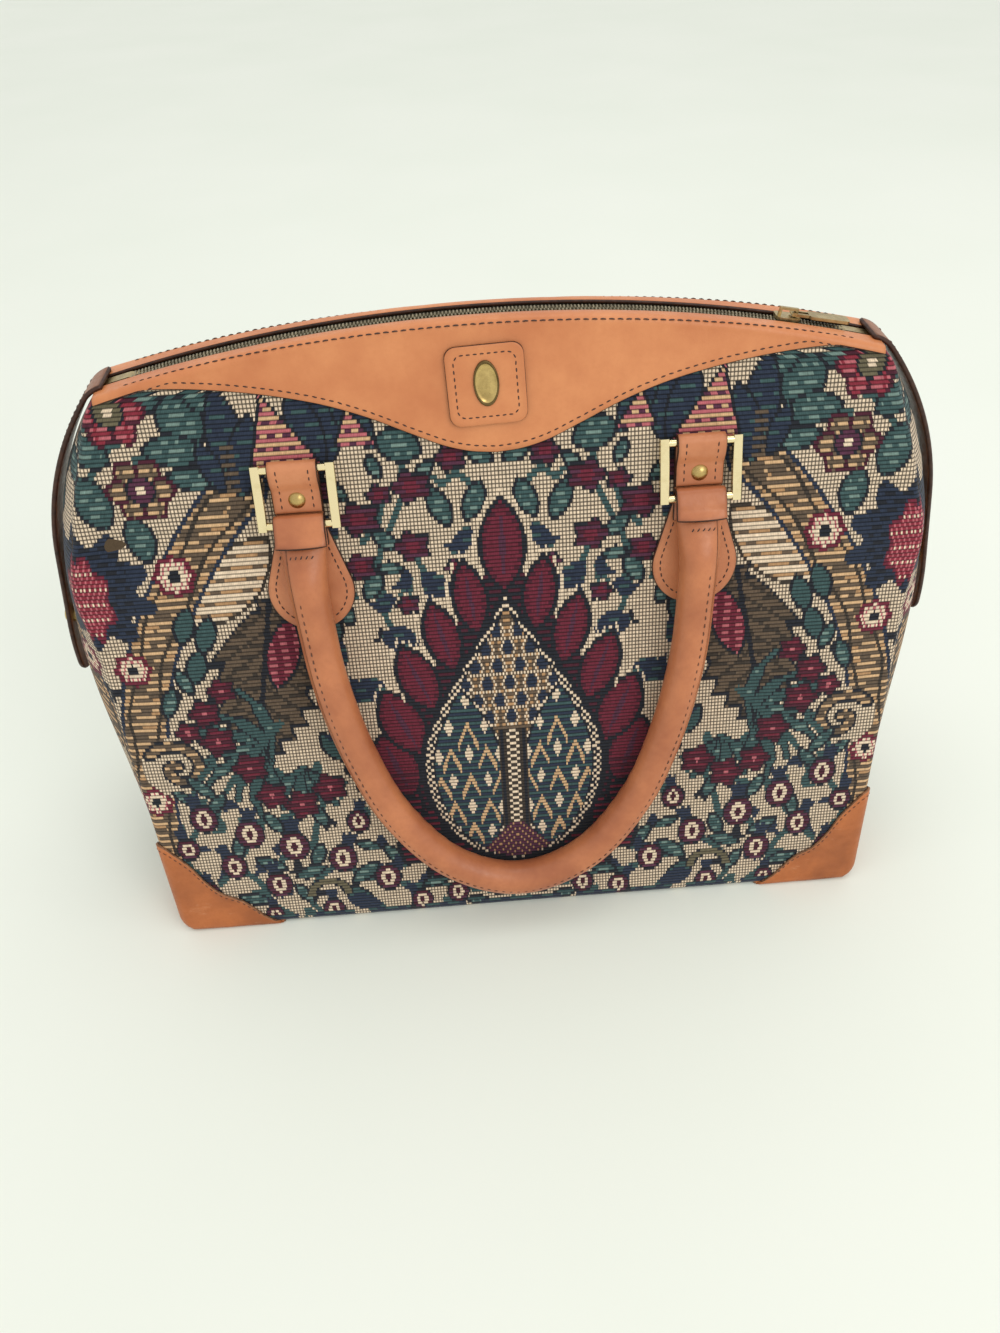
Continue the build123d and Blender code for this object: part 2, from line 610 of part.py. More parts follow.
def main():
    os.makedirs("parts", exist_ok=True)
    for name, shape in all_parts().items():
        export_step(shape, f"parts/{name}.step")
    height, stand_off = ring_lower_bar()
    for label, high, out in (("ring upper bar", HOLE_HEIGHT, EYE), ("ring lower bar", height, stand_off)):
        point = FRONT.from_local_coords((0, high, out))
        print(label, [round(value, 4) for value in tuple(point)])
    pin = slider_location() * Pos(PULL_PIN_PLACE, 0, PIN_HEIGHT)
    print("zip pull pin", [round(value, 4) for value in tuple(pin.position)])
    print("arch centre height", ARCH_CENTRE)


if __name__ == "__main__":
    main()
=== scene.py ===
"""Looks of a carpet bag: tapestry body, tan leather trim, rolled handles, brass fittings and a coil zip.

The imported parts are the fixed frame. Soft pieces are modelled here over them and ride on their bodies.
Every length in the classes is in millimetres, in the frame's axes, and make_mesh turns it into metres.
A place on the leaning front is (u, s, n): across, up the face from the floor, and out of the face.
"""
import logging
import math
from dataclasses import dataclass
from enum import Enum
from typing import Optional, Sequence

import bmesh
import bpy
import numpy as np
from mathutils import Matrix, Vector


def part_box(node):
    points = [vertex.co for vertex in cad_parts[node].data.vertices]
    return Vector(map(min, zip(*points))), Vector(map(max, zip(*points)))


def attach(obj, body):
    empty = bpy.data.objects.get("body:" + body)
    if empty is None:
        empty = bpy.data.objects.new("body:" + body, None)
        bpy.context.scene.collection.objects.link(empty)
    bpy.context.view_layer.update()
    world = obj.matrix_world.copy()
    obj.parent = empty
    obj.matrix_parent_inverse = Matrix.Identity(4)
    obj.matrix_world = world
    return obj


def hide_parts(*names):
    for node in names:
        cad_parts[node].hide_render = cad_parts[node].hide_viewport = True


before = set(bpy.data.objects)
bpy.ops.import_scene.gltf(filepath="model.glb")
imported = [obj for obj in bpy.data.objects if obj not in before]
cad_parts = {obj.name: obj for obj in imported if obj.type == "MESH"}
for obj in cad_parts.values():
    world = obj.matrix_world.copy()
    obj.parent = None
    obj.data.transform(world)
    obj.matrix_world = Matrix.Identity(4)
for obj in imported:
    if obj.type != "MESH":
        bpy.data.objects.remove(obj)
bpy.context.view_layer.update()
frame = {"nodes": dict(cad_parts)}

LOG = logging.getLogger("carpet_bag")
SEED = 20
Points = Sequence[tuple[float, float]]
Place = tuple[float, float]
Dye = tuple[int, int, int]
Array = np.ndarray
Piece = bpy.types.Object
Material = bpy.types.Material
Socket = bpy.types.NodeSocket


# ---------------------------------------------------------------- small helpers

class Face(Enum):
    """The two faces of the bag, by the sign of Y."""

    FRONT = -1
    BACK = 1

    @property
    def word(self) -> str:
        """The face's word in the names of pieces."""
        return self.name.lower()

    @property
    def sign(self) -> Array:
        """Carries a point drawn for the front to this face."""
        return np.array([1.0, -self.value, 1.0])


class End(Enum):
    """The two ends of the bag, by the sign of X."""

    LEFT = -1
    RIGHT = 1

    @property
    def word(self) -> str:
        """The end's word in the names of pieces."""
        return self.name.lower()

    @property
    def sign(self) -> Array:
        """Carries a point drawn for the right end to this end."""
        return np.array([self.value, 1, 1])


class Profile:
    """A smooth line through a few set points, read as a value for each place."""

    def __init__(self, points: Points) -> None:
        """Keeps the points and works out their slopes.

        Args:
            points: pairs of place and value, by rising place.
        """
        self.at = np.array([p[0] for p in points], float)
        self.value = np.array([p[1] for p in points], float)
        steps = np.diff(self.value) / np.diff(self.at)
        slopes = np.concatenate([[steps[0]], (steps[1:] + steps[:-1]) / 2, [steps[-1]]])
        slopes[1:-1][steps[1:] * steps[:-1] <= 0] = 0.0
        self.slope = slopes

    def __call__(self, place: Array) -> Array:
        """Reads the line.

        Args:
            place: where to read it. Beyond the ends it keeps the end values.

        Returns:
            The values there.
        """
        x = np.clip(np.asarray(place, float), self.at[0], self.at[-1])
        i = np.clip(np.searchsorted(self.at, x) - 1, 0, len(self.at) - 2)
        width = self.at[i + 1] - self.at[i]
        t = (x - self.at[i]) / width
        low, high = self.value[i], self.value[i + 1]
        rise = (3 - 2 * t) * t * t
        start = t * (1 - t) ** 2 * width * self.slope[i]
        stop = t * t * (t - 1) * width * self.slope[i + 1]
        return low + (high - low) * rise + start + stop


def smooth_path(points: Sequence[Sequence[float]], per_span: int = 12) -> Array:
    """Draws a smooth path through points.

    Args:
        points: the points, of two or three numbers each.
        per_span: how many steps between two of them.

    Returns:
        The path as rows of numbers.
    """
    p = np.array(points, float)
    ghost = np.vstack([2 * p[0] - p[1], p, 2 * p[-1] - p[-2]])
    out = []
    for i in range(1, len(ghost) - 2):
        a, b, c, d = ghost[i - 1:i + 3]
        for t in np.linspace(0, 1, per_span, endpoint=False):
            out.append(0.5 * (2 * b + (c - a) * t + (2 * a - 5 * b + 4 * c - d) * t**2
                              + (3 * b - a - 3 * c + d) * t**3))
    out.append(p[-1])
    return np.array(out)


def run_along(path: Array) -> Array:
    """Length along a path at each of its points."""
    steps = np.linalg.norm(np.diff(path, axis=0), axis=-1)
    return np.concatenate([np.zeros_like(steps[:1]), np.cumsum(steps, axis=0)])


def resample(path: Array, count: int) -> Array:
    """Spaces a path's points evenly.

    Args:
        path: the path.
        count: how many points to return.

    Returns:
        The evenly spaced path.
    """
    along = run_along(path)
    to = np.linspace(0, along[-1], count)
    return np.stack([np.interp(to, along, path[:, k]) for k in range(path.shape[1])], axis=1)


def path_length(path: Array) -> float:
    """Length of a path."""
    return float(np.linalg.norm(np.diff(path, axis=0), axis=1).sum())


def unit(vectors: Array) -> Array:
    """Vectors scaled to length one."""
    return vectors / np.maximum(np.linalg.norm(vectors, axis=-1, keepdims=True), 1e-9)


def grid_normals(grid: Array, closed: bool = False) -> Array:
    """Normals of a grid of points.

    Args:
        grid: rows by columns by three.
        closed: whether the last column joins the first.

    Returns:
        One unit normal a point, column direction crossed with row direction.
    """
    if closed:
        wide = np.concatenate([grid[:, -1:], grid, grid[:, :1]], axis=1)
        across = (wide[:, 2:] - wide[:, :-2]) / 2
    else:
        across = np.gradient(grid, axis=1)
    up = np.gradient(grid, axis=0)
    return unit(np.cross(across, up))


def make_mesh(name: str, points: Array, faces: Sequence[Sequence[int]],
              materials: Sequence[Material],
              index: Optional[Array] = None) -> Piece:
    """Makes a smooth-shaded object.

    Args:
        name: the piece's name.
        points: its points in millimetres.
        faces: point numbers of each face.
        materials: its finishes.
        index: which finish each face has.

    Returns:
        The new object, in the scene.
    """
    mesh = bpy.data.meshes.new(name)
    mesh.from_pydata((points * 0.001).tolist(), [], faces if isinstance(faces, list) else faces.tolist())
    for material in materials:
        mesh.materials.append(material)
    if index is not None:
        mesh.polygons.foreach_set("material_index", np.asarray(index, np.int32))
    mesh.polygons.foreach_set("use_smooth", np.ones(len(mesh.polygons), bool))
    mesh.update()
    made = bpy.data.objects.new(name, mesh)
    bpy.context.scene.collection.objects.link(made)
    return made


def seat(piece: Piece, node: str, body: str = "bag") -> None:
    """Lets a piece stand for a node of the frame and ride on a body.

    Args:
        piece: the piece.
        node: the node that it stands for.
        body: the body that it rides on.
    """
    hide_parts(node)
    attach(piece, body)


def quads(rows: int, columns: int, closed: bool = False, start: int = 0, flip: bool = False) -> Array:
    """Point numbers of a grid's quads.

    Args:
        rows: rows of points.
        columns: columns of points.
        closed: whether the last column joins the first.
        start: number of the grid's first point.
        flip: turns the quads over.

    Returns:
        Four point numbers a quad.
    """
    r = np.arange(rows - 1)[:, None]
    c = np.arange(columns if closed else columns - 1)[None, :]
    d = (c + 1) % columns
    four = np.stack([r * columns + c, r * columns + d, (r + 1) * columns + d, (r + 1) * columns + c], axis=-1)
    four = four.reshape(-1, 4) + start
    return four[:, ::-1] if flip else four


def grid_loop(rows: int, columns: int) -> Array:
    """Numbers of the points round a grid's edge.

    Args:
        rows: rows of points.
        columns: columns of points.

    Returns:
        The numbers, once round from the first point.
    """
    number = np.arange(rows * columns).reshape(rows, columns)
    return np.concatenate([number[0, :-1], number[:-1, -1], number[-1, :0:-1], number[:0:-1, 0]])


def tube_faces(start: int, rings: int, sides: int) -> list[list[int]]:
    """Faces of a closed tube: its wall and its two ends.

    Args:
        start: number of the tube's first point.
        rings: how many rings of points it has.
        sides: points to a ring.

    Returns:
        The faces.
    """
    faces = []
    for ring in range(rings - 1):
        for k in range(sides):
            a, b = start + ring * sides + k, start + ring * sides + (k + 1) % sides
            faces.append([a, b, b + sides, a + sides])
    last = start + (rings - 1) * sides
    return [*faces, [start + k for k in range(sides)][::-1], [last + k for k in range(sides)]]


def edge_nearness(grid: Array, reach: float, closed: bool) -> Array:
    """How near each point of a grid is to its edge.

    Args:
        grid: rows by columns by three.
        reach: the distance at which it no longer counts.
        closed: whether the columns go round, so only the last row is an edge.

    Returns:
        1 on the edge, 0 beyond reach.
    """
    up = run_along(grid)
    nearest = up[-1:] - up
    if not closed:
        across = run_along(grid.transpose(1, 0, 2)).T
        nearest = np.minimum(np.minimum(nearest, up), np.minimum(across, across[:, -1:] - across))
    return np.clip(1 - nearest / reach, 0, 1)


def make_slab(name: str, grid: Array, thickness: float, face: Material, edge: Material,
              closed: bool = False, bulge: float = 0.3, reach: float = 4.0) -> Piece:
    """Gives a sheet of leather its thickness, with a rounded, painted edge.

    Args:
        name: the piece's name.
        grid: points of the sheet's middle, rows by columns by three.
        thickness: of the leather.
        face: finish of the two sides.
        edge: finish of the cut edge.
        closed: whether the columns go round, with the first row as the centre.
        bulge: how far the cut edge swells, as a share of the thickness.
        reach: how far in from the edge the leather is darkened.

    Returns:
        The new object.
    """
    rows, columns = grid.shape[:2]
    normal = grid_normals(grid, closed)
    if closed:
        normal[0] = unit(normal[1].mean(axis=0))
    over = grid + normal * thickness / 2
    under = grid - normal * thickness / 2
    outward = np.zeros_like(grid)
    outward[-1] += unit(grid[-1] - grid[-2])
    if closed:
        loop = np.arange((rows - 1) * columns, rows * columns)
    else:
        outward[0] += unit(grid[0] - grid[1])
        outward[:, 0] += unit(grid[:, 0] - grid[:, 1])
        outward[:, -1] += unit(grid[:, -1] - grid[:, -2])
        loop = grid_loop(rows, columns)
    middle = (grid + unit(outward) * thickness * bulge).reshape(-1, 3)[loop]
    points = np.concatenate([over.reshape(-1, 3), under.reshape(-1, 3), middle])
    count, ring = rows * columns, len(loop)
    upper = quads(rows, columns, closed)
    lower = quads(rows, columns, closed, start=count, flip=True)
    follow = np.roll(loop, -1)
    mid = 2 * count + np.arange(ring)
    mid_next = np.roll(mid, -1)
    rim_upper = np.stack([follow, loop, mid, mid_next], axis=1)
    rim_lower = np.stack([mid_next, mid, loop + count, follow + count], axis=1)
    if closed:
        rim_upper, rim_lower = rim_upper[:, ::-1], rim_lower[:, ::-1]
    faces = np.concatenate([upper, lower, rim_upper, rim_lower])
    index = np.concatenate([np.zeros(len(upper) + len(lower)), np.ones(2 * ring)])
    made = make_mesh(name, points, faces, [face, edge], index)
    near = edge_nearness(grid, reach, closed).reshape(-1)
    shade = made.data.attributes.new("edge_wear_and_shade", "FLOAT", "POINT")
    shade.data.foreach_set("value", np.concatenate([near, near, np.ones(ring)]).astype(np.float32))
    if closed:
        weld(made)
    return made


def weld(piece: Piece, dist: float = 1e-6) -> None:
    """Joins the points of a piece that lie on each other.

    Args:
        piece: the piece.
        dist: points nearer than this, in metres, become one.
    """
    work = bmesh.new()
    work.from_mesh(piece.data)
    bmesh.ops.remove_doubles(work, verts=work.verts, dist=dist)
    work.to_mesh(piece.data)
    work.free()


def make_stitches(name: str, paths: Sequence[tuple[Array, Array]],
                  thread: Material, pitch: float, length: float, wide: float,
                  turn: float = 0.0) -> Piece:
    """Sews rows of stitches as small bars of thread that dive into the leather at both ends.

    Args:
        name: the piece's name.
        paths: each row's path on the leather, with the leather's normal or one for each point.
        thread: the thread's finish.
        pitch: from one stitch to the next.
        length: of a stitch.
        wide: of the thread.
        turn: angle of each stitch to the row, in degrees.

    Returns:
        The new object.
    """
    draw = np.random.default_rng(SEED)
    sides, uneven, dive = 6, 3.0, 0.55
    rings = ((-0.5, 0.25), (-0.36, 0.85), (0.0, 1.0), (0.36, 0.85), (0.5, 0.25))
    angles = np.arange(sides) * 2 * np.pi / sides
    points, faces = [], []
    for path, normals in paths:
        count = max(2, int(path_length(path) / pitch))
        along, normals = run_along(path), np.broadcast_to(normals, path.shape)
        for i in range(count):
            at = (i + 0.5) * along[-1] / count
            centre, ahead, out = (np.array([np.interp(at + d, along, a[:, k]) for k in range(3)])
                                  for d, a in ((0, path), (0.5, path), (0, normals)))
            out = unit(out)
            line = unit(ahead - centre)
            side = np.cross(out, line)
            lean = math.radians(turn + draw.normal(0, uneven))
            line, side = (math.cos(lean) * line + math.sin(lean) * side,
                          math.cos(lean) * side - math.sin(lean) * line)
            faces += tube_faces(len(points), len(rings), sides)
            for place, size in rings:
                sunk = -wide * dive * (2 * abs(place)) ** 2
                for angle in angles:
                    lift = sunk + math.sin(angle) * size * wide / 2
                    points.append(centre + line * place * length + out * lift
                                  + side * math.cos(angle) * size * wide / 2)
    return make_mesh(name, np.array(points), faces, [thread])


# ---------------------------------------------------------------- the bag's form

@dataclass(frozen=True)
class BagForm:
    """The outside of the stuffed cloth body, which every soft piece follows."""

    lean: float = math.radians(13.0)
    half_depth: float = -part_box("panel_front")[0].y * 1000
    arch_radius: float = 730.0
    ridge: float = 336.0
    corner: float = 4.0
    shoulder: float = 306.0
    shoulder_corner: float = 2.0
    floor_roll: float = 4.0
    floor_corner: float = 10.0
    side_edge: Points = ((0, 206.0), (10, 206.4), (65, 209.0), (110, 211.0), (150, 212.6), (190, 214.2),
                         (207, 216.8), (222, 218.4), (236, 216.6), (249, 212.6), (262, 209.4), (277, 204.6),
                         (290, 199.8), (302, 195.2), (310, 192.2), (316, 188.8), (319.5, 185.0),
                         (321.9, 180.0))
    end_middle: Points = ((0, 206.0), (10, 206.8), (35, 214.5), (70, 224.5), (110, 232.0), (150, 235.5),
                          (176, 235.0), (200, 231.5), (216, 228.8), (232, 225.8), (248, 221.6), (264, 215.8),
                          (280, 208.2), (296, 198.4), (304, 192.4), (312, 186.0), (320, 179.5))
    lumps: tuple = ((0, 118, 60, 48, 1.7), (168, 150, 30, 50, 1.5), (-172, 138, 32, 55, 1.8),
                    (205, 252, 40, 9, -2.0), (-204, 250, 44, 10, -2.2), (186, 228, 30, 11, 1.1),
                    (-188, 226, 32, 11, 1.3), (128, 70, 26, 34, 0.9), (-132, 62, 28, 30, 0.9),
                    (0, 262, 36, 14, 0.6), (150, 300, 22, 12, -0.7), (-150, 298, 24, 12, -0.8),
                    (70, 12, 60, 9, 0.8), (-70, 12, 60, 9, 0.7))

    @property
    def out(self) -> Array:
        """The way out of the front face."""
        return self.on_face(0, 0, 1) - self.on_face(0, 0, 0)

    def arch(self, x: Array) -> Array:
        """Height of the zip's arch."""
        return self.ridge - self.arch_radius + np.sqrt(self.arch_radius**2 - np.asarray(x, float) ** 2)

    def corner_at(self, s: Array) -> Array:
        """Radius of the upright corner at a place up the face."""
        return np.where(s > self.shoulder, self.shoulder_corner, self.corner)

    def edge(self, s: Array) -> Array:
        """Half-width of the face, with the rounded corner at the floor.

        Args:
            s: place up the face.

        Returns:
            The half-width there.
        """
        z = np.asarray(s, float) * math.cos(self.lean)
        out = Profile(self.side_edge)(s)
        low = np.clip(self.floor_corner - z, 0, self.floor_corner)
        out = out - self.floor_corner + np.sqrt(self.floor_corner**2 - low**2)
        reach = np.sqrt(np.maximum(self.arch_radius**2 - (z + self.arch_radius - self.ridge) ** 2, 1.0))
        return np.where(s > self.side_edge[-1][0], reach, out)

    def relief(self, u: Array, s: Array) -> Array:
        """How far the stuffed cloth stands out of the flat face, or sinks into it.

        Args:
            u: place across the face.
            s: place up it.

        Returns:
            The height at each place.
        """
        out = np.zeros(np.broadcast(u, s).shape)
        for cu, cs, wide, high, amount in self.lumps:
            out += amount * np.exp(-((u - cu) / wide) ** 2 - ((s - cs) / high) ** 2)
        return out

    def skin(self, q: Array, s: Array, end: End = End.RIGHT) -> Array:
        """Points of the cloth's outside round a front corner.

        Args:
            q: distance from the corner: below zero on the front, above zero round on the end.
            s: place up the face.
            end: which end of the bag.

        Returns:
            The points, one row of three for each pair.
        """
        q, s = np.broadcast_arrays(np.asarray(q, float), np.asarray(s, float))
        cos, sin = math.cos(self.lean), math.sin(self.lean)
        e = self.edge(s)
        r = self.corner_at(s)
        face_y = -self.half_depth + s * sin
        z = s * cos
        roll = np.clip(self.floor_roll - s, 0, self.floor_roll)
        sunk = self.floor_roll - np.sqrt(self.floor_roll**2 - roll**2)
        turn = np.clip((q + r) / r, 0, math.pi / 2)
        beyond = np.maximum(q + r - r * math.pi / 2, 0)
        front = q < -r
        x = np.where(front, e + q, e - r + r * np.sin(turn))
        y = np.where(front, face_y, face_y + r - r * np.cos(turn)) + beyond
        v = np.clip(y / np.minimum(face_y + r, -1e-3), -1, 1)
        middle = np.where(z < self.floor_corner, e, Profile(self.end_middle)(z))
        x = np.where(beyond > 0, e + (middle - e) * (1 - v**2), x)
        out_amount = np.where(front, self.relief(end.value * x, s) * np.clip((-q - r) / 14, 0, 1), 0.0)
        out_amount = out_amount - sunk * np.where(beyond > 0, 0, np.cos(turn))
        y = y - out_amount * cos
        z = z + out_amount * sin
        x = x - sunk * np.sin(turn) * 0.6
        return np.stack([end.value * x, y, np.maximum(z, 0.0)], axis=-1)

    def on_face(self, u: Array, s: Array, n: Array, face: Face = Face.FRONT) -> Array:
        """Points given by their place on the leaning face.

        Args:
            u: across, from the middle.
            s: up the face, from the floor.
            n: out of the face.
            face: front or back.

        Returns:
            The points, one row of three for each.
        """
        u, s, n = np.broadcast_arrays(*(np.asarray(a, float) for a in (u, s, n)))
        cos, sin = math.cos(self.lean), math.sin(self.lean)
        y = -self.half_depth + s * sin - n * cos
        return np.stack([u, -face.value * y, s * cos + n * sin], axis=-1)


FORM = BagForm()


def turn_round(points: Array, face: Face) -> Array:
    """Carries a grid drawn for the front to a face.

    Args:
        points: rows by columns by three.
        face: front or back.

    Returns:
        The grid, mirrored and with its columns turned for the back.
    """
    if face is Face.FRONT:
        return points
    return points[:, ::-1] * face.sign


# ---------------------------------------------------------------- finishes

def linear(red: int, green: int, blue: int) -> tuple[float, float, float, float]:
    """A dye as the shaders want it.

    Args:
        red: its red, 0 to 255.
        green: its green.
        blue: its blue.

    Returns:
        The linear colour with full alpha.
    """
    parts = [value / 255 for value in (red, green, blue)]
    return (*(c / 12.92 if c <= 0.04045 else ((c + 0.055) / 1.055) ** 2.4 for c in parts), 1.0)


class Shade:
    """A material and its nodes, with short calls for what the finishes need."""

    def __init__(self, name: str) -> None:
        """Starts a material with a plain surface shader.

        Args:
            name: the material's name.
        """
        self.material = bpy.data.materials.new(name)
        self.material.use_nodes = True
        self.tree = self.material.node_tree
        self.tree.nodes.clear()
        self.bsdf = self.node("BsdfPrincipled")
        self.put(self.node("OutputMaterial").inputs[0], self.bsdf.outputs[0])

    def node(self, kind: str) -> bpy.types.Node:
        """A new node of a kind."""
        return self.tree.nodes.new("ShaderNode" + kind)

    def put(self, socket: Socket, value: object) -> None:
        """Links an output to a socket, or sets the socket's own value.

        Args:
            socket: the input.
            value: an output, or a number or colour.
        """
        if isinstance(value, Socket):
            self.tree.links.new(value, socket)
        else:
            socket.default_value = value

    def set(self, **values: object) -> None:
        """Sets sockets of the surface shader by name, with _ for a space."""
        for name, value in values.items():
            self.put(self.bsdf.inputs[name.replace("_", " ")], value)

    def attribute(self, name: str) -> bpy.types.Node:
        """A node that reads a mesh attribute.

        Args:
            name: the attribute.

        Returns:
            The node.
        """
        node = self.node("Attribute")
        node.attribute_name = name
        return node

    def place(self, scale: Sequence[float] = (1, 1, 1), uv: str = "") -> Socket:
        """The place on the piece, scaled.

        Args:
            scale: how much along each axis.
            uv: a UV map to read, or the piece's own coordinates if empty.

        Returns:
            The vector.
        """
        if uv:
            source = self.node("UVMap")
            source.uv_map = uv
            out = source.outputs[0]
        else:
            out = self.node("TexCoord").outputs["Object"]
        node = self.node("Mapping")
        node.inputs["Scale"].default_value = scale
        self.put(node.inputs["Vector"], out)
        return node.outputs[0]

    def math(self, how: str, a: object, b: object = 0.0) -> Socket:
        """One sum of two values.

        Args:
            how: the operation.
            a: first value.
            b: second value.

        Returns:
            The result.
        """
        node = self.node("Math")
        node.operation = how
        self.put(node.inputs[0], a)
        self.put(node.inputs[1], b)
        return node.outputs[0]

    def span(self, value: object, low: float, high: float, to: Place = (0.0, 1.0)) -> Socket:
        """Carries a value from one range to another, and keeps it within it.

        Args:
            value: the value.
            low: start of its range.
            high: end of its range.
            to: the new range.

        Returns:
            The value in the new range.
        """
        node = self.node("MapRange")
        self.put(node.inputs["Value"], value)
        for name, number in (("From Min", low), ("From Max", high), ("To Min", to[0]), ("To Max", to[1])):
            node.inputs[name].default_value = number
        return node.outputs[0]

    def split(self, vector: Socket) -> tuple[Socket, ...]:
        """The parts of a vector.

        Args:
            vector: the vector.

        Returns:
            Its X, Y and Z.
        """
        node = self.node("SeparateXYZ")
        self.put(node.inputs[0], vector)
        return tuple(node.outputs)

    def noise(self, at: Socket, scale: float, detail: float = 2.0, rough: float = 0.5) -> Socket:
        """A soft random cloud.

        Args:
            at: where it is read.
            scale: lumps to a unit of length.
            detail: how many finer layers it has.
            rough: how strong they are.

        Returns:
            The cloud, 0 to 1.
        """
        node = self.node("TexNoise")
        self.put(node.inputs["Vector"], at)
        for name, number in (("Scale", scale), ("Detail", detail), ("Roughness", rough)):
            node.inputs[name].default_value = number
        return node.outputs["Fac"]

    def cells(self, at: Socket, scale: float) -> Socket:
        """Pebbles of grain.

        Args:
            at: where they are read.
            scale: pebbles to a unit of length.

        Returns:
            Distance from a pebble's middle.
        """
        node = self.node("TexVoronoi")
        self.put(node.inputs["Vector"], at)
        node.inputs["Scale"].default_value = scale
        return node.outputs["Distance"]

    def mix(self, share: object, a: object, b: object, how: str = "MIX") -> Socket:
        """Mixes two colours.

        Args:
            share: how much of the second.
            a: first colour.
            b: second colour.
            how: the blend.

        Returns:
            The mixed colour.
        """
        node = self.node("Mix")
        node.data_type, node.blend_type = "RGBA", how
        self.put(node.inputs[0], share)
        self.put(node.inputs[6], a)
        self.put(node.inputs[7], b)
        return node.outputs[2]

    def bump(self, height: Socket, strength: float, deep: float) -> None:
        """Raises the surface.

        Args:
            height: how high, 0 to 1.
            strength: how much of it shows.
            deep: its depth in metres.
        """
        node = self.node("Bump")
        node.inputs["Strength"].default_value = strength
        node.inputs["Distance"].default_value = deep
        self.put(node.inputs["Height"], height)
        self.put(self.bsdf.inputs["Normal"], node.outputs[0])


@dataclass(frozen=True)
class TapestryFinish:
    """Ribbed jacquard cloth, which reads the colours that are woven into the mesh.

    It has painted shade in the gaps between the ribs and threads, and between the raised dots where the
    ground is bare.
    """

    rib: float = 2.1
    cell: float = 1.8
    rib_gap_shade: float = 0.34
    ground_gap_shade: float = 0.13

    def material(self) -> Material:
        """Mixes the cloth's finish.

        Returns:
            The material.
        """
        m = Shade("tapestry_cloth")
        yarn = m.attribute("yarn").outputs["Color"]
        ground = m.attribute("ground").outputs["Fac"]
        x, y, _ = m.split(m.place((1000 / self.cell, 1000 / self.rib, 1), uv="weave"))
        from_rib = m.math("PINGPONG", y, 0.5)
        from_cell = m.math("PINGPONG", x, 0.5)
        from_thread = m.math("PINGPONG", m.math("MULTIPLY", x, 2.0), 0.5)
        rib = m.span(from_rib, 0.04, 0.27)
        cell = m.span(from_cell, 0.05, 0.27)
        thread = m.span(from_thread, 0.0, 0.3, (0.82, 1.0))
        fibre = m.noise(m.place((380, 2600, 1), uv="weave"), 1.0, 3.0, 0.6)
        # painted shade: the gaps between ribs, dots and threads are darkened in the colour
        ground_light = m.span(m.math("MULTIPLY", rib, cell), 0.0, 1.0, (self.ground_gap_shade, 1.04))
        field_light = m.math("MULTIPLY", m.span(rib, 0.0, 1.0, (self.rib_gap_shade, 1.08)), thread)
        difference = m.math("SUBTRACT", ground_light, field_light)
        light = m.math("ADD", field_light, m.math("MULTIPLY", difference, ground))
        light = m.math("MULTIPLY", light, m.span(fibre, 0.3, 0.7, (0.84, 1.14)))
        shaded = m.mix(1.0, yarn, light, "MULTIPLY")
        m.set(Base_Color=shaded, Roughness=0.92, Sheen_Weight=0.12, Sheen_Roughness=0.5,
              Specular_IOR_Level=0.18)
        height = m.math("ADD", m.math("MULTIPLY", rib, 0.75), m.math("MULTIPLY", fibre, 0.3))
        dots = m.math("MULTIPLY", m.math("MULTIPLY", cell, ground), 0.5)
        m.bump(m.math("ADD", height, dots), 0.7, 0.0005)
        return m.material


@dataclass(frozen=True)
class LeatherFinish:
    """Vegetable-tanned hide: clouded colour, fine grain, darker towards its edges by wear, and on the handle
    roll with painted shade.
    """

    name: str
    pale: Dye
    deep: Dye
    edge: Dye
    edge_share: float = 0.45
    roughness: float = 0.42
    grain: float = 0.30
    worn: float = 0.0

    def material(self) -> Material:
        """Mixes the hide's finish.

        Returns:
            The material.
        """
        m = Shade(self.name)
        at = m.place()
        cloud = m.noise(at, 26.0, 4.0, 0.6)
        fine = m.noise(at, 420.0, 3.0, 0.6)
        pebble = m.cells(at, 1150.0)
        tone = m.mix(m.span(cloud, 0.36, 0.66), linear(*self.pale), linear(*self.deep))
        tone = m.mix(m.span(fine, 0.45, 0.75, (0.0, 0.22)), tone, linear(*self.deep))
        # edges darker by wear; on the handle roll this mark also holds painted shade
        near = m.attribute("edge_wear_and_shade").outputs["Fac"]
        scuff = m.span(m.noise(at, 90.0, 4.0, 0.65), 0.42, 0.62, (0.55, 1.0))
        share = m.math("MULTIPLY", m.math("MULTIPLY", m.math("POWER", near, 1.8), self.edge_share), scuff)
        tone = m.mix(share, tone, linear(*self.edge))
        if self.worn:
            scar = m.span(m.noise(m.place((60, 60, 210)), 1.0, 5.0, 0.7), 0.62, 0.72, (0.0, self.worn))
            tone = m.mix(scar, tone, linear(214, 176, 142))
        gloss = m.span(fine, 0.3, 0.7, (self.roughness - 0.07, self.roughness + 0.12))
        m.set(Base_Color=tone, Roughness=gloss, Specular_IOR_Level=0.42, Coat_Weight=0.08,
              Coat_Roughness=0.35)
        height = m.math("ADD", m.math("MULTIPLY", pebble, 0.6), m.math("MULTIPLY", fine, 0.8))
        m.bump(m.math("ADD", height, m.math("MULTIPLY", cloud, 0.8)), self.grain, 0.00022)
        return m.material


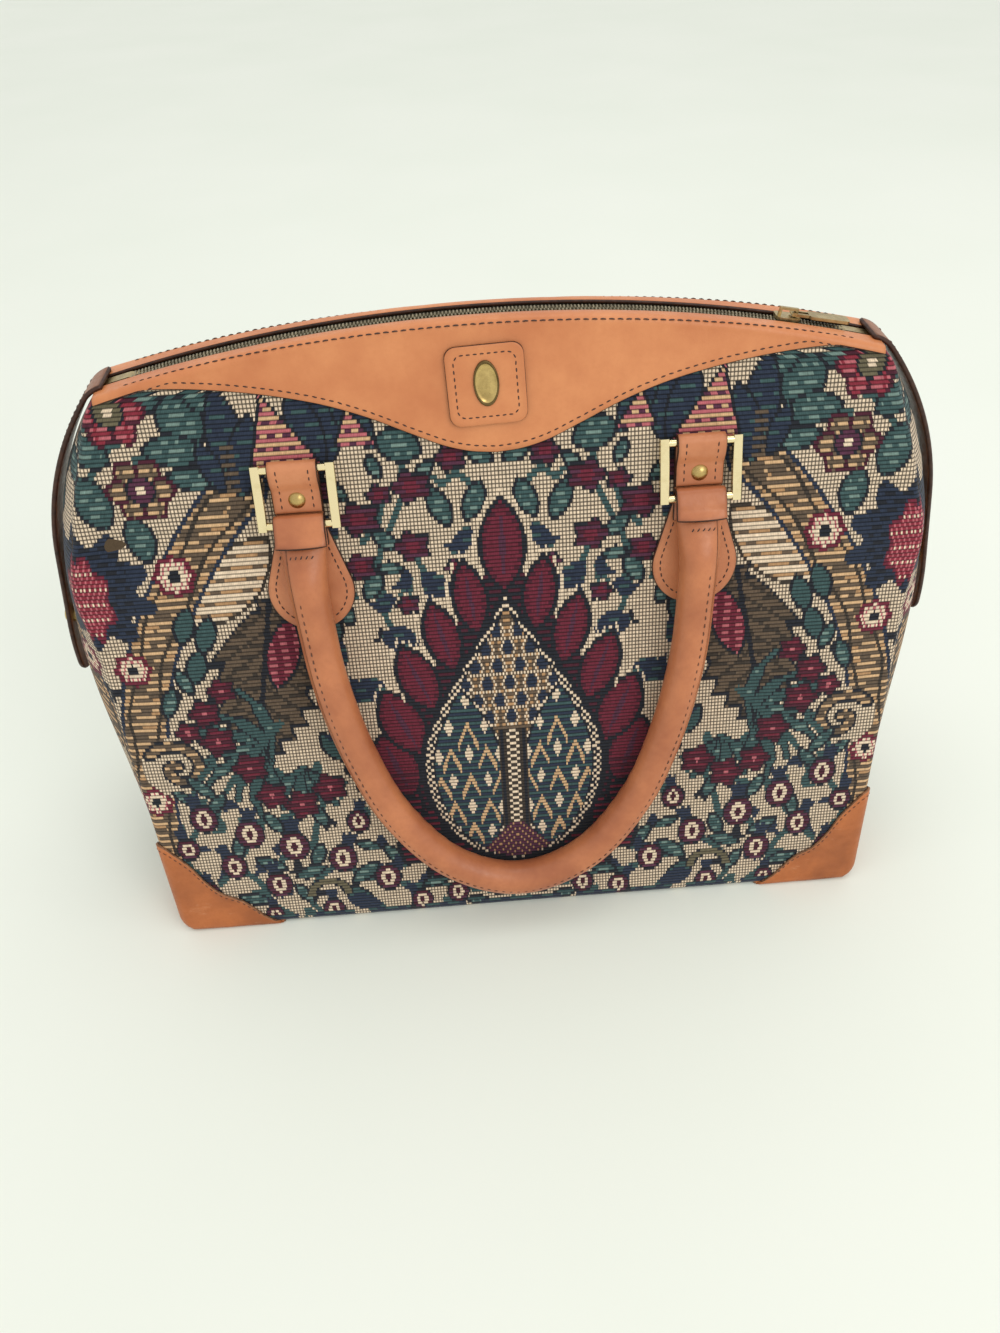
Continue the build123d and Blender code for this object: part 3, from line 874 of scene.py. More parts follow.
@dataclass(frozen=True)
class CloudedFinish:
    """Two tones in a soft cloud: cut edges, thread, filament, board and the floor."""

    name: str
    tone: Dye
    other: Dye
    scale: float = 300.0
    detail: float = 3.0
    rough: float = 0.6
    blend: Place = (0.35, 0.7)
    gloss: Place = (0.38, 0.6)
    specular: float = 0.4
    sheen: float = 0.0
    raised: Place = (0.3, 0.0001)

    def material(self) -> Material:
        """Mixes the finish.

        Returns:
            The material.
        """
        m = Shade(self.name)
        cloud = m.noise(m.place(), self.scale, self.detail, self.rough)
        even = self.gloss[0] == self.gloss[1]
        m.set(Base_Color=m.mix(m.span(cloud, *self.blend), linear(*self.tone), linear(*self.other)),
              Roughness=self.gloss[0] if even else m.span(cloud, 0.3, 0.7, self.gloss),
              Specular_IOR_Level=self.specular, Sheen_Weight=self.sheen)
        if any(self.raised):
            m.bump(cloud, *self.raised)
        return m.material


@dataclass(frozen=True)
class MetalFinish:
    """Plated brass, bright or aged, with fine scratches."""

    name: str
    bright: Dye
    aged: Dye
    age: float = 0.2
    roughness: float = 0.2

    def material(self) -> Material:
        """Mixes the metal's finish.

        Returns:
            The material.
        """
        m = Shade(self.name)
        at = m.place()
        cloud = m.noise(at, 160.0, 4.0, 0.65)
        scratch = m.noise(m.place((300, 4200, 900)), 1.0, 2.0, 0.5)
        spots = m.span(cloud, 0.62 - self.age, 0.72 - self.age * 0.3, (0.0, min(1.0, self.age * 1.8)))
        m.set(Base_Color=m.mix(spots, linear(*self.bright), linear(*self.aged)), Metallic=1.0,
              Roughness=m.span(scratch, 0.3, 0.7, (self.roughness * 0.7, self.roughness * 1.6)))
        m.bump(scratch, 0.12, 0.00005)
        return m.material


@dataclass(frozen=True)
class WovenFinish:
    """Plain or twilled weave for the zip's tapes and the lining."""

    name: str
    tone: Dye
    other: Dye
    pitch: float = 0.6

    def material(self) -> Material:
        """Mixes the weave's finish.

        Returns:
            The material.
        """
        m = Shade(self.name)
        step = 1000 / self.pitch
        x, y, z = m.split(m.place((step, step, step)))
        slant = m.math("PINGPONG", m.math("ADD", x, m.math("ADD", y, z)), 0.5)
        cross = m.math("PINGPONG", m.math("SUBTRACT", x, y), 0.5)
        weave = m.math("ADD", slant, cross)
        fuzz = m.noise(m.place(), 500.0, 3.0, 0.6)
        tone = m.mix(m.span(weave, 0.25, 0.75), linear(*self.other), linear(*self.tone))
        m.set(Base_Color=m.mix(m.span(fuzz, 0.4, 0.7, (0.0, 0.35)), tone, linear(*self.other)), Roughness=0.9,
              Sheen_Weight=0.1, Specular_IOR_Level=0.2)
        m.bump(m.math("ADD", weave, fuzz), 0.5, 0.00025)
        return m.material


class Finishes:
    """Every finish, made once and shared by the pieces."""

    def __init__(self) -> None:
        """Makes the materials."""
        hide, metal, cloud = LeatherFinish, MetalFinish, CloudedFinish
        self.tapestry = TapestryFinish().material()
        self.tan = hide("tan_hide", (214, 138, 88), (196, 118, 72), (150, 84, 46), 0.30).material()
        self.chape = hide("chape_hide", (204, 132, 90), (182, 110, 72), (120, 66, 38), 0.45).material()
        self.handle = hide("handle_hide", (194, 120, 78), (164, 94, 60), (112, 58, 34), 0.62, 0.36,
                           0.34).material()
        self.corner = hide("corner_hide", (184, 104, 52), (146, 78, 36), (196, 140, 98), 0.26, 0.44,
                           0.35, worn=0.22).material()
        self.tab = hide("tab_hide", (150, 92, 56), (116, 68, 42), (64, 38, 26), 0.6, 0.4).material()
        self.edge_dark = cloud("painted_edge", (70, 38, 24), (42, 22, 14)).material()
        self.edge_worn = cloud("worn_edge", (150, 104, 72), (90, 62, 43)).material()
        self.edge_roll = cloud("roll_edge", (138, 80, 50), (82, 48, 30)).material()
        self.bright = metal("bright_brass", (244, 226, 178), (206, 180, 122), 0.12, 0.17).material()
        self.antique = metal("aged_brass", (206, 178, 116), (120, 94, 52), 0.26, 0.30).material()
        self.plate_rim = metal("plate_rim", (120, 100, 64), (64, 50, 32), 0.3, 0.34).material()
        self.zip_metal = metal("zip_brass", (196, 176, 130), (118, 98, 66), 0.3, 0.32).material()
        thread = {"scale": 2600.0, "detail": 2.0, "rough": 0.5, "blend": (0.35, 0.65), "gloss": (0.7, 0.7),
                  "specular": 0.5, "sheen": 0.15, "raised": (0.4, 0.0001)}
        self.thread_dark = cloud("brown_thread", (74, 40, 26), (45, 24, 16), **thread).material()
        self.thread_mid = cloud("umber_thread", (116, 66, 40), (71, 40, 24), **thread).material()
        self.tape = WovenFinish("zip_tape_weave", (124, 114, 86), (78, 70, 50)).material()
        self.lining = WovenFinish("lining_weave", (96, 78, 58), (70, 56, 42), 0.5).material()
        self.coil = cloud("zip_filament", (150, 138, 112), (104, 94, 74), 300.0, 2.0, 0.5, (0.35, 0.65),
                          (0.35, 0.5), 0.45, 0.0, (0.1, 0.0001)).material()
        self.board = cloud("pressed_board", (150, 128, 98), (108, 90, 68), 260.0, 5.0, 0.7, (0.0, 1.0),
                           (0.95, 0.95), 0.5, 0.0, (0.4, 0.0003)).material()
        self.floor = cloud("studio_floor", (238, 240, 232), (235, 238, 229), 3.0, 2.0, 0.5, (0.3, 0.7),
                           (0.75, 0.75), 0.2, 0.0, (0.0, 0.0)).material()


# ---------------------------------------------------------------- the weaver's drawing

class Yarn(Enum):
    """Dyed yarns of the tapestry."""

    CREAM = (226, 203, 177)
    SAND = (206, 168, 128)
    TAN = (176, 136, 98)
    BROWN = (98, 82, 68)
    BARK = (62, 54, 48)
    OLIVE = (104, 96, 76)
    INK = (36, 38, 46)
    NAVY = (44, 52, 70)
    TEAL = (60, 84, 85)
    SAGE = (112, 134, 128)
    BURGUNDY = (106, 38, 54)
    WINE = (74, 32, 46)
    PLUM = (84, 46, 66)
    ROSE = (180, 98, 106)
    RED = (134, 46, 60)

    @property
    def dye(self) -> Array:
        """The yarn's colour as the shaders want it."""
        return np.array(linear(*self.value)[:3])


class Cartoon:
    """The drawing that the loom follows: it colours cells of cloth by their place on the repeat.

    The repeat is mirrored about its middle and again about the side flower, so the cloth runs on
    round the bag's ends.
    """

    half_repeat = 212.0
    rib = TapestryFinish.rib
    cell = TapestryFinish.cell

    def __init__(self, across: Array, up: Array) -> None:
        """Starts with bare ground.

        Args:
            across: each cell's place across the repeat.
            up: each cell's place up it.
        """
        u = np.mod(np.abs(across), 2 * self.half_repeat)
        self.u = np.where(u > self.half_repeat, 2 * self.half_repeat - u, u)
        self.s = up
        self.row = np.floor(up / self.rib).astype(int)
        self.even = self.row % 2 == 0
        self.col = np.floor(self.u / self.cell).astype(int)
        self.half_col = np.floor(self.u / (self.cell / 2)).astype(int)
        self.dye = np.tile(Yarn.CREAM.dye, (len(u), 1))
        self.ground = np.ones(len(u))

    # ---- how deep a cell lies in a shape, below zero inside

    def lens(self, place: Place, long: float, wide: float, angle: float = 90.0) -> Array:
        """A leaf pointed at both ends.

        Args:
            place: its middle.
            long: its length.
            wide: its width.
            angle: the way that it points, in degrees from across.

        Returns:
            How deep each cell lies in it.
        """
        turn = math.radians(angle)
        du, ds = self.u - place[0], self.s - place[1]
        along = du * math.cos(turn) + ds * math.sin(turn)
        across = np.abs(ds * math.cos(turn) - du * math.sin(turn))
        radius = (long**2 + wide**2) / (4 * wide)
        return np.hypot(along, across + radius - wide / 2) - radius

    def oval(self, place: Place, wide: float, high: float, lobes: int = 0, deep: float = 0.12) -> Array:
        """An oval, scalloped if it has lobes.

        Args:
            place: its middle.
            wide: its width.
            high: its height.
            lobes: how many lobes.
            deep: how deep they are, as a share of the size.

        Returns:
            How deep each cell lies in it.
        """
        du, ds = (self.u - place[0]) / (wide / 2), (self.s - place[1]) / (high / 2)
        edge = 1 + (deep * np.cos(lobes * np.arctan2(ds, du)) if lobes else 0)
        return (np.hypot(du, ds) - edge) * min(wide, high) / 2

    def stem(self, points: Points, wide: float) -> Array:
        """A curved stem.

        Args:
            points: the points that it goes through.
            wide: its width.

        Returns:
            How deep each cell lies in it.
        """
        path = smooth_path(points, 6)
        nearest = np.full(len(self.u), 1e9)
        for a, b in zip(path[:-1], path[1:]):
            d = b - a
            t = ((self.u - a[0]) * d[0] + (self.s - a[1]) * d[1]) / max(float(d @ d), 1e-9)
            t = np.clip(t, 0, 1)
            nearest = np.minimum(nearest, np.hypot(self.u - a[0] - t * d[0], self.s - a[1] - t * d[1]))
        return nearest - wide / 2

    # ---- laying yarn

    def lay(self, where: Array, yarn: Yarn) -> None:
        """Weaves a yarn over the cells of a mask."""
        self.dye[where] = yarn.dye
        self.ground[where] = 0.0

    def bare(self, where: Array) -> None:
        """Goes back to bare ground over the cells of a mask."""
        self.dye[where] = Yarn.CREAM.dye
        self.ground[where] = 1.0

    def field(self, deep: Array, yarn: Yarn, outline: Optional[Yarn] = None,
              edge: float = 1.6) -> Array:
        """Fills a shape and draws its outline.

        Args:
            deep: the shape, below zero inside.
            yarn: its colour.
            outline: colour of its outline.
            edge: width of the outline.

        Returns:
            The mask of the cells inside the outline.
        """
        self.lay(deep < 0, yarn)
        if outline is not None:
            self.lay((deep < 0) & (deep > -edge), outline)
            return deep < -edge
        return deep < 0

    def dashes(self, where: Array, yarn: Yarn, every: int = 2, run: int = 5, gap: int = 2) -> None:
        """Lays broken lines of a second yarn over a shape.

        Args:
            where: the shape's cells.
            yarn: the second yarn.
            every: rows from one line to the next.
            run: cells in a dash.
            gap: cells between two dashes.
        """
        shift = self.row * 3 + (self.row // every) * 2
        self.lay(where & (self.row % every == 0) & ((self.col + shift) % (run + gap) < run), yarn)

    def dots(self, where: Array, yarn: Yarn = Yarn.CREAM) -> None:
        """Lays single cells of a second yarn in a checker."""
        self.lay(where & ((self.row + self.col) % 2 == 0), yarn)

    def sprigs(self, low: float, high: float, spacing: float, long: float, wide: float) -> None:
        """Fills the ground between two heights with small scattered leaves.

        Args:
            low: lowest place.
            high: highest place.
            spacing: from one leaf to the next.
            long: length of a leaf.
            wide: width of a leaf.
        """
        draw = np.random.default_rng(SEED + int(low))
        spans = ((-3, 3), (-3, 3), (0, 180), (0.8, 1.2))
        for k, s in enumerate(np.arange(low, high, spacing * 0.82)):
            for u in np.arange(4 + (k % 2) * spacing / 2, self.half_repeat, spacing):
                du, ds, angle, size = (draw.uniform(*span) for span in spans)
                yarn = (Yarn.TEAL, Yarn.NAVY, Yarn.INK, Yarn.TEAL)[int(draw.integers(4))]
                self.field(self.lens((u + du, s + ds), long * size, wide * size, angle), yarn)
                curl = self.lens((u + du + 3, s + ds - 3), long * size * 0.6, wide * 0.5, angle + 70)
                self.field(curl, yarn)

    def leaf(self, place: Place, long: float, wide: float, angle: float,
             yarn: Yarn = Yarn.TEAL, pale: Optional[Yarn] = Yarn.SAGE) -> None:
        """A leaf with a dark outline and pale dashes.

        Args:
            place: its middle.
            long: its length.
            wide: its width.
            angle: the way that it points.
            yarn: its colour.
            pale: colour of its dashes.
        """
        inside = self.field(self.lens(place, long, wide, angle), yarn, Yarn.INK, 1.5)
        if pale:
            core = self.lens(place, long * 0.72, wide * 0.55, angle) < 0
            self.dashes(core & inside, pale, 2, 4, 2)

    def rosette(self, place: Place, size: float, petal: Yarn, ring: Yarn, centre: Yarn) -> None:
        """An open flower seen from above.

        Args:
            place: its middle.
            size: its radius.
            petal: colour of its petals.
            ring: colour of their dashes.
            centre: colour of its eye.
        """
        inside = self.field(self.oval(place, size * 2, size * 2, 6), petal, Yarn.WINE, 2.2)
        self.dashes(inside, ring, 2, 3, 1)
        spokes = np.cos(6 * np.arctan2(self.s - place[1], self.u - place[0])) < -0.82
        self.lay(inside & spokes, Yarn.WINE)
        self.field(self.oval(place, size * 0.95, size * 0.95), centre, Yarn.INK, 1.2)
        self.lay(self.oval(place, size * 0.3, size * 0.3) < 0, Yarn.CREAM)

    def bud(self, place: Place, size: float = 9.0, crown: float = 90.0) -> None:
        """A round bud: wine and plum outside, a cream heart and a navy crown.

        Args:
            place: its middle.
            size: its radius.
            crown: the way that its crown points, in degrees.
        """
        turn = math.radians(crown)
        tip = (place[0] + size * 1.3 * math.cos(turn), place[1] + size * 1.3 * math.sin(turn))
        for side in (-38.0, 0.0, 38.0):
            self.field(self.lens(tip, size * 1.5, size * 0.55, crown + side), Yarn.NAVY)
        inside = self.field(self.oval(place, size * 1.75, size * 2.1), Yarn.WINE, Yarn.INK, 1.0)
        self.lay(inside & self.even, Yarn.PLUM)
        self.lay(self.oval(place, size * 0.85, size * 1.25) < 0, Yarn.CREAM)
        self.lay(self.oval(place, size * 0.36, size * 0.72) < 0, Yarn.WINE)

    def spray(self, place: Place, start: float, stop: float, count: int, reach: float) -> None:
        """A spray of slender curved leaves that open like a fan.

        Args:
            place: where they spring from.
            start: angle of the first leaf, in degrees.
            stop: angle of the last.
            count: how many leaves.
            reach: length of a leaf.
        """
        for k, angle in enumerate(np.linspace(start, stop, count)):
            a, length = math.radians(angle), reach * (1.0 if k % 2 else 0.82)
            ahead = np.array([math.cos(a), math.sin(a)])
            bow = np.array([-math.sin(a), math.cos(a)]) * length * 0.16
            points = [tuple(np.array(place) + ahead * length * t + bow * math.sin(math.pi * t))
                      for t in (0, 0.35, 0.7, 1)]
            whole = np.minimum(self.stem(points, 2.8), self.stem(points[1:3], 6.2))
            self.field(whole - 0.9, Yarn.INK)
            inside = self.field(whole, Yarn.TEAL)
            self.dashes(inside & (whole < -1.6), Yarn.SAGE, 3, 4, 3)

    # ---- the drawing

    side_band: Points = ((124, 276), (143, 256), (160, 233), (175, 209), (187, 184), (197, 152), (203, 112),
                         (206, 62))
    top_leaves = ((47, 291, 24, 18, 20), (13, 261, 24, 12, 112), (30, 259, 26, 12, 68),
                  (67, 219, 19, 11, 120), (58, 243, 19, 10, 40), (147, 309, 28, 23, 60),
                  (153, 295, 32, 17, 5), (193, 297, 24, 16, 30), (191, 313, 18, 12, 130),
                  (147, 281, 26, 13, 12), (196, 272, 30, 19, 75), (178, 252, 27, 16, 80),
                  (163, 319, 20, 12, 0), (138, 319, 18, 11, 60), (206, 289, 18, 12, 80),
                  (9, 284, 17, 10, 30), (84, 206, 20, 11, 60), (96, 222, 19, 11, 100),
                  (36, 278, 15, 8, 140), (80, 270, 17, 9, 40), (57, 228, 16, 8, 10), (100, 240, 18, 9, 70),
                  (60, 281, 15, 8, 70))
    tall_leaves = ((80, 304, 52, 20, 100), (90, 300, 48, 18, 78), (127, 298, 54, 20, 84),
                   (120, 290, 44, 18, 104), (68, 306, 40, 16, 60), (137, 286, 30, 12, 70))
    navy_leaves = ((20, 240, 18, 10, 125), (35, 217, 20, 12, 45), (56, 188, 21, 14, 15),
                   (77, 158, 22, 15, 160), (62, 209, 14, 8, 150), (90, 184, 20, 10, 70),
                   (86, 252, 16, 9, 60), (92, 236, 15, 9, 140), (94, 134, 20, 11, 110),
                   (50, 221, 13, 7, 100))
    plum_flowers = ((23, 283, 16, 13), (43, 270, 20, 16), (70, 255, 21, 17), (45, 239, 18, 16),
                    (72, 230, 16, 15), (90, 271, 17, 14), (59, 267, 13, 11), (24, 226, 12, 10),
                    (50, 207, 13, 11))
    petals = ((0, 236, 54, 25, 90), (18, 208, 46, 20, 82), (34, 187, 46, 21, 76), (49, 163, 46, 23, 70),
              (60, 136, 48, 26, 68), (66, 108, 48, 27, 72), (66, 82, 46, 27, 88), (57, 57, 46, 26, 116),
              (38, 40, 44, 24, 145))
    palmette: Points = ((28, 0), (30, 24), (40, 40), (60, 54), (85, 62), (110, 62), (135, 55), (160, 45),
                        (185, 31), (210, 16), (226, 7), (236, 0))
    drop: Points = ((36, 0), (38, 8), (42, 18), (50, 29), (62, 38), (80, 46), (103, 49), (122, 46.5),
                    (142, 38), (160, 28), (178, 17), (194, 7), (207, 0))
    chevrons = ((25, 126), (15, 110), (35, 110), (25, 91), (42, 91), (15, 73), (35, 73), (25, 56), (8, 91))
    diamonds = ((25, 148), (15, 132), (35, 131), (25, 113), (42, 112), (15, 95), (35, 95), (25, 77), (42, 76),
                (15, 58), (34, 58), (8, 113), (8, 75))
    buds = ((179, 82, 9.5, 75), (155, 69, 10, 95), (131, 58, 10.5, 92), (104, 46, 10, 110),
            (79, 29, 9.5, 125), (144, 30, 9.5, 80), (168, 46, 9, 70), (60, 10, 8, 60), (114, 8, 8, 90),
            (192, 61, 8, 80), (38, 14, 8, 100), (13, 17, 8, 120), (150, 7, 7, 90), (92, 72, 8, 100),
            (186, 28, 8, 90), (206, 12, 7, 90))
    red_flowers = ((165, 152, 8.5), (154, 165, 7.5), (161, 134, 9.5), (147, 115, 9.5), (105, 97, 9.5),
                   (122, 87, 9.5), (138, 95, 9), (176, 141, 7))
    low_leaves = ((176, 104, 24, 9, 50), (113, 78, 20, 9, 70), (118, 50, 20, 10, 110),
                  (146, 46, 22, 10, 30), (92, 34, 24, 11, 140), (163, 60, 20, 9, 100),
                  (170, 92, 22, 9, 130), (187, 98, 18, 8, 40), (140, 76, 20, 9, 60),
                  (124, 38, 22, 10, 160), (98, 18, 24, 11, 30), (74, 46, 20, 9, 60), (160, 20, 22, 10, 20),
                  (178, 12, 22, 10, 150), (50, 24, 22, 10, 160), (24, 30, 20, 9, 30), (198, 42, 20, 9, 80),
                  (182, 160, 22, 10, 110), (172, 172, 20, 9, 70), (86, 98, 20, 10, 80),
                  (196, 20, 18, 9, 110), (130, 22, 20, 9, 60), (88, 54, 18, 8, 20), (26, 6, 18, 8, 10))
    top_stems = (((60, 206), (64, 224), (60, 240), (52, 256), (46, 270), (47, 284)),
                 ((15, 271), (21, 275), (28, 270)), ((28, 271), (35, 275), (43, 271)),
                 ((70, 243), (62, 250), (58, 262)),
                 ((34, 216), (42, 228), (45, 240)), ((56, 186), (62, 200), (66, 216), (72, 229)),
                 ((147, 312), (150, 300), (150, 284)), ((172, 292), (160, 296), (150, 300)),
                 ((178, 300), (186, 296), (196, 280), (194, 262)))
    low_stems = (((126, 142), (140, 128), (154, 112), (166, 96), (172, 82)),
                 ((166, 120), (176, 110), (182, 96), (180, 84)),
                 ((165, 150), (160, 140), (158, 130), (146, 112)),
                 ((105, 97), (112, 82), (118, 64), (118, 48)), ((130, 60), (140, 48), (146, 34), (145, 22)),
                 ((105, 45), (96, 34), (84, 28), (66, 22)), ((158, 72), (164, 58), (168, 46), (178, 34)),
                 ((122, 88), (132, 80), (144, 78), (158, 80)), ((168, 46), (156, 34), (150, 16), (140, 6)),
                 ((180, 80), (190, 66), (194, 50), (188, 34)), ((66, 22), (44, 20), (24, 14), (0, 12)),
                 ((105, 45), (118, 34), (128, 20), (122, 6)))

    def weave(self) -> "Cartoon":
        """Draws everything from the ground up.

        Returns:
            The cartoon itself.
        """
        self.sprigs(6, 110, 21.0, 11.0, 5.5)
        self.sprigs(140, 236, 31.0, 10.0, 4.5)
        self.draw_band()
        self.draw_fern()
        self.draw_lower_garden()
        self.draw_top_garden()
        self.draw_tall_flower()
        self.draw_side_flower()
        self.draw_palmette()
        self.draw_drop()
        self.draw_floor_border()
        return self

    def draw_band(self) -> None:
        """The striped band that falls from the shoulder, with its rosettes and the ribbed leaf below."""
        ribbed = self.lens((138, 226), 66, 30, -46)
        inside = self.field(ribbed, Yarn.CREAM, Yarn.BARK, 1.6)
        self.lay(inside & (self.row % 3 == 0), Yarn.BROWN)
        self.dashes(inside, Yarn.TAN, 3, 6, 3)
        band = self.stem(self.side_band, 26)
        self.field(band, Yarn.BROWN, Yarn.NAVY, 2.0)
        core = band < -2.0
        grain = np.sin(self.col * 0.55 + self.row * 1.9) + 0.7 * np.sin(self.col * 0.23 - self.row * 0.8)
        self.lay(core & self.even & (grain > -0.7), Yarn.SAND)
        self.lay(core & (self.row % 4 == 1) & (grain > 0.3), Yarn.TAN)
        self.lay(core & (np.abs(band + 6.2 + 1.5 * np.sin(self.s / 9)) < 0.9), Yarn.BARK)
        for place, size in (((165, 232), 10.5), ((197, 181), 9.5), ((203, 96), 9.5)):
            flower = self.oval(place, size * 2, size * 2, 8, 0.08)
            inside = self.field(flower, Yarn.CREAM, Yarn.BURGUNDY, 2.6)
            self.lay(inside & (self.oval(place, size * 0.9, size * 0.9) > 0)
                     & ((self.row + self.half_col) % 3 == 0), Yarn.ROSE)
            self.lay(self.oval(place, size * 0.6, size * 0.6) < 0, Yarn.INK)
        self.bare(self.oval((186, 118), 40, 40) < 0)
        turns = [(186 + (17 - 2.1 * a) * math.cos(a + 0.6), 118 + (17 - 2.1 * a) * math.sin(a + 0.6))
                 for a in np.linspace(0, 7.2, 16)]
        inside = self.field(self.stem(turns, 8.0), Yarn.BROWN, Yarn.INK, 1.4)
        self.dashes(inside, Yarn.SAND, 2, 4, 2)

    def draw_fern(self) -> None:
        """The big brown leaf with a jagged outline and its spotted patch."""
        shape = self.lens((131, 167), 116, 62, -76)
        from_axis = np.abs(self.u - 131 - (168 - self.s) * 0.22)
        jag = 7.0 * np.abs(np.sin((self.s + np.abs(self.u - 131) * 0.9) / 5.0))
        inside = self.field(shape + jag, Yarn.BROWN, Yarn.INK, 2.6)
        vein = np.mod(self.s + 0.8 * from_axis, 11.0) < 2.2
        self.lay(inside & vein, Yarn.BARK)
        self.dashes(inside & ~vein, Yarn.BARK, 3, 5, 3)
        self.lay(inside & (from_axis < 1.4), Yarn.INK)
        inside = self.field(self.lens((118, 184), 46, 19, -72), Yarn.BURGUNDY, Yarn.INK, 1.6)
        self.dashes(inside, Yarn.ROSE, 2, 2, 2)
        for place in ((98, 150), (95, 172), (100, 124), (164, 180), (156, 198), (166, 204), (92, 200)):
            self.leaf(place, 24, 12, 60 if place[0] < 120 else 110, Yarn.TEAL, None)

    def draw_lower_garden(self) -> None:
        """Stems, leaves, red flowers and buds between the fern and the floor."""
        self.spray((134, 122), -100, 75, 8, 44)
        self.spray((118, 112), -150, -60, 4, 30)
        for points in self.low_stems:
            self.field(self.stem(points, 3.8), Yarn.TEAL)
        for u, s, long, wide, angle in self.low_leaves:
            self.leaf((u, s), long, wide, angle, Yarn.TEAL, Yarn.SAGE if long > 17 else None)
        for u, s, size in self.red_flowers:
            inside = self.field(self.oval((u, s), size * 2, size * 2, 5, 0.16), Yarn.WINE, Yarn.INK, 1.0)
            heart = self.oval((u, s), size * 1.4, size * 1.4) < 0
            self.lay(inside & self.even & heart, Yarn.BURGUNDY)
            self.lay(self.oval((u, s), 2.8, 3.2) < 0, Yarn.ROSE)
        for u, s, size, crown in self.buds:
            self.bud((u, s), size, crown)
        arch = np.abs(np.hypot(self.u - 115, (self.s - 20) * 1.15) - 11) - 3.2
        self.field(np.where(self.s > 18, arch, 9.0), Yarn.OLIVE, Yarn.INK, 1.0)
        self.field(self.lens((95, 12), 22, 12, 20), Yarn.NAVY)

    def draw_top_garden(self) -> None:
        """Stems, leaves and plum flowers under the yoke."""
        for points in self.top_stems:
            self.field(self.stem(points, 3.2), Yarn.TEAL)
        for u, s, long, wide, angle in self.navy_leaves:
            inside = self.field(self.lens((u, s), long, wide, angle), Yarn.NAVY)
            self.field(self.lens((u + 3, s - 2), long * 0.8, wide * 0.5, angle + 55), Yarn.NAVY)
            self.dashes(inside, Yarn.TEAL, 3, 3, 3)
        for u, s, long, wide, angle in self.top_leaves:
            self.leaf((u, s), long, wide, angle)
        for u, s, wide, high in self.plum_flowers:
            inside = self.field(self.oval((u, s), wide, high, 5, 0.16), Yarn.PLUM, Yarn.INK, 1.2)
            self.lay(inside & self.even, Yarn.WINE)
            self.lay(inside & (self.oval((u, s), wide * 0.4, high * 0.4) < 0), Yarn.BURGUNDY)
        self.rosette((179, 315), 16, Yarn.RED, Yarn.ROSE, Yarn.OLIVE)
        self.rosette((172, 277), 15.5, Yarn.BROWN, Yarn.SAND, Yarn.PLUM)

    def draw_tall_flower(self) -> None:
        """The tall spotted flower between navy leaves, and the half-hidden one beside it."""
        for u, s, long, wide, angle in self.tall_leaves:
            inside = self.field(self.lens((u, s), long, wide, angle), Yarn.NAVY, Yarn.INK, 1.4)
            self.dashes(inside, Yarn.TEAL, 3, 4, 3)
        self.lay((np.abs(self.u - 128) < 3.4) & (self.s > 262) & (self.s < 296) & self.even, Yarn.BROWN)
        for tip, low, left, right in (((109, 321), 284, 26, 10), ((70, 312), 292, 14, 8)):
            rise = np.clip((tip[1] - self.s) / (tip[1] - low), 0, 1)
            width = np.where(self.u < tip[0], left, right) * rise
            inside = (np.abs(self.u - tip[0]) < width) & (self.s > low) & (self.s < tip[1])
            self.lay(inside, Yarn.ROSE)
            self.lay(inside & self.even, Yarn.SAND)
            self.lay(inside & (self.row % 3 == 1) & ((self.col + self.row) % 4 < 2), Yarn.PLUM)
            self.lay(inside & (np.abs(self.u - tip[0]) > width - 1.6), Yarn.INK)

    def draw_side_flower(self) -> None:
        """The jagged navy flower on the bag's corner, with its rose heart."""
        jag = 4.5 * np.abs(np.sin(self.s / 4.6)) * 0.5
        inside = self.field(self.oval((208, 226), 58, 62, 9, 0.16) + jag, Yarn.NAVY)
        self.dashes(inside & (self.u > 188), Yarn.INK, 2, 3, 2)
        inside = self.field(self.oval((211, 222), 25, 44, 7, 0.12), Yarn.RED, Yarn.BURGUNDY, 1.6)
        self.lay(inside & ((self.row + self.half_col) % 3 == 0), Yarn.ROSE)
        self.lay(inside & (self.row % 4 == 0) & (self.half_col % 3 == 0), Yarn.CREAM)

    def draw_palmette(self) -> None:
        """The pointed wine-red petals round the drop."""
        span = np.where((self.s > self.palmette[0][0]) & (self.s < self.palmette[-1][0]),
                        self.u - Profile(self.palmette)(self.s), 9.0)
        shade = self.field(span, Yarn.INK)
        self.lay(shade & self.even & (self.s > 60), Yarn.WINE)
        for u, s, long, wide, angle in reversed(self.petals):
            shape = self.lens((u, s), long, wide, angle)
            halo = (shape < 3.0) & (shape > 1.0) & ~shade & (self.col % 2 == 0)
            self.lay(halo & (self.s > 150), Yarn.CREAM)
            inside = self.field(shape, Yarn.BURGUNDY, Yarn.INK, 2.2)
            self.lay(inside & (shape > -4.4) & self.even, Yarn.WINE)
            self.lay(inside & (self.lens((u, s), long * 0.7, wide * 0.12, angle) < 0), Yarn.PLUM)
            if s < 120:
                self.lay(inside & self.even & (self.s < 105), Yarn.WINE if s > 90 else Yarn.INK)

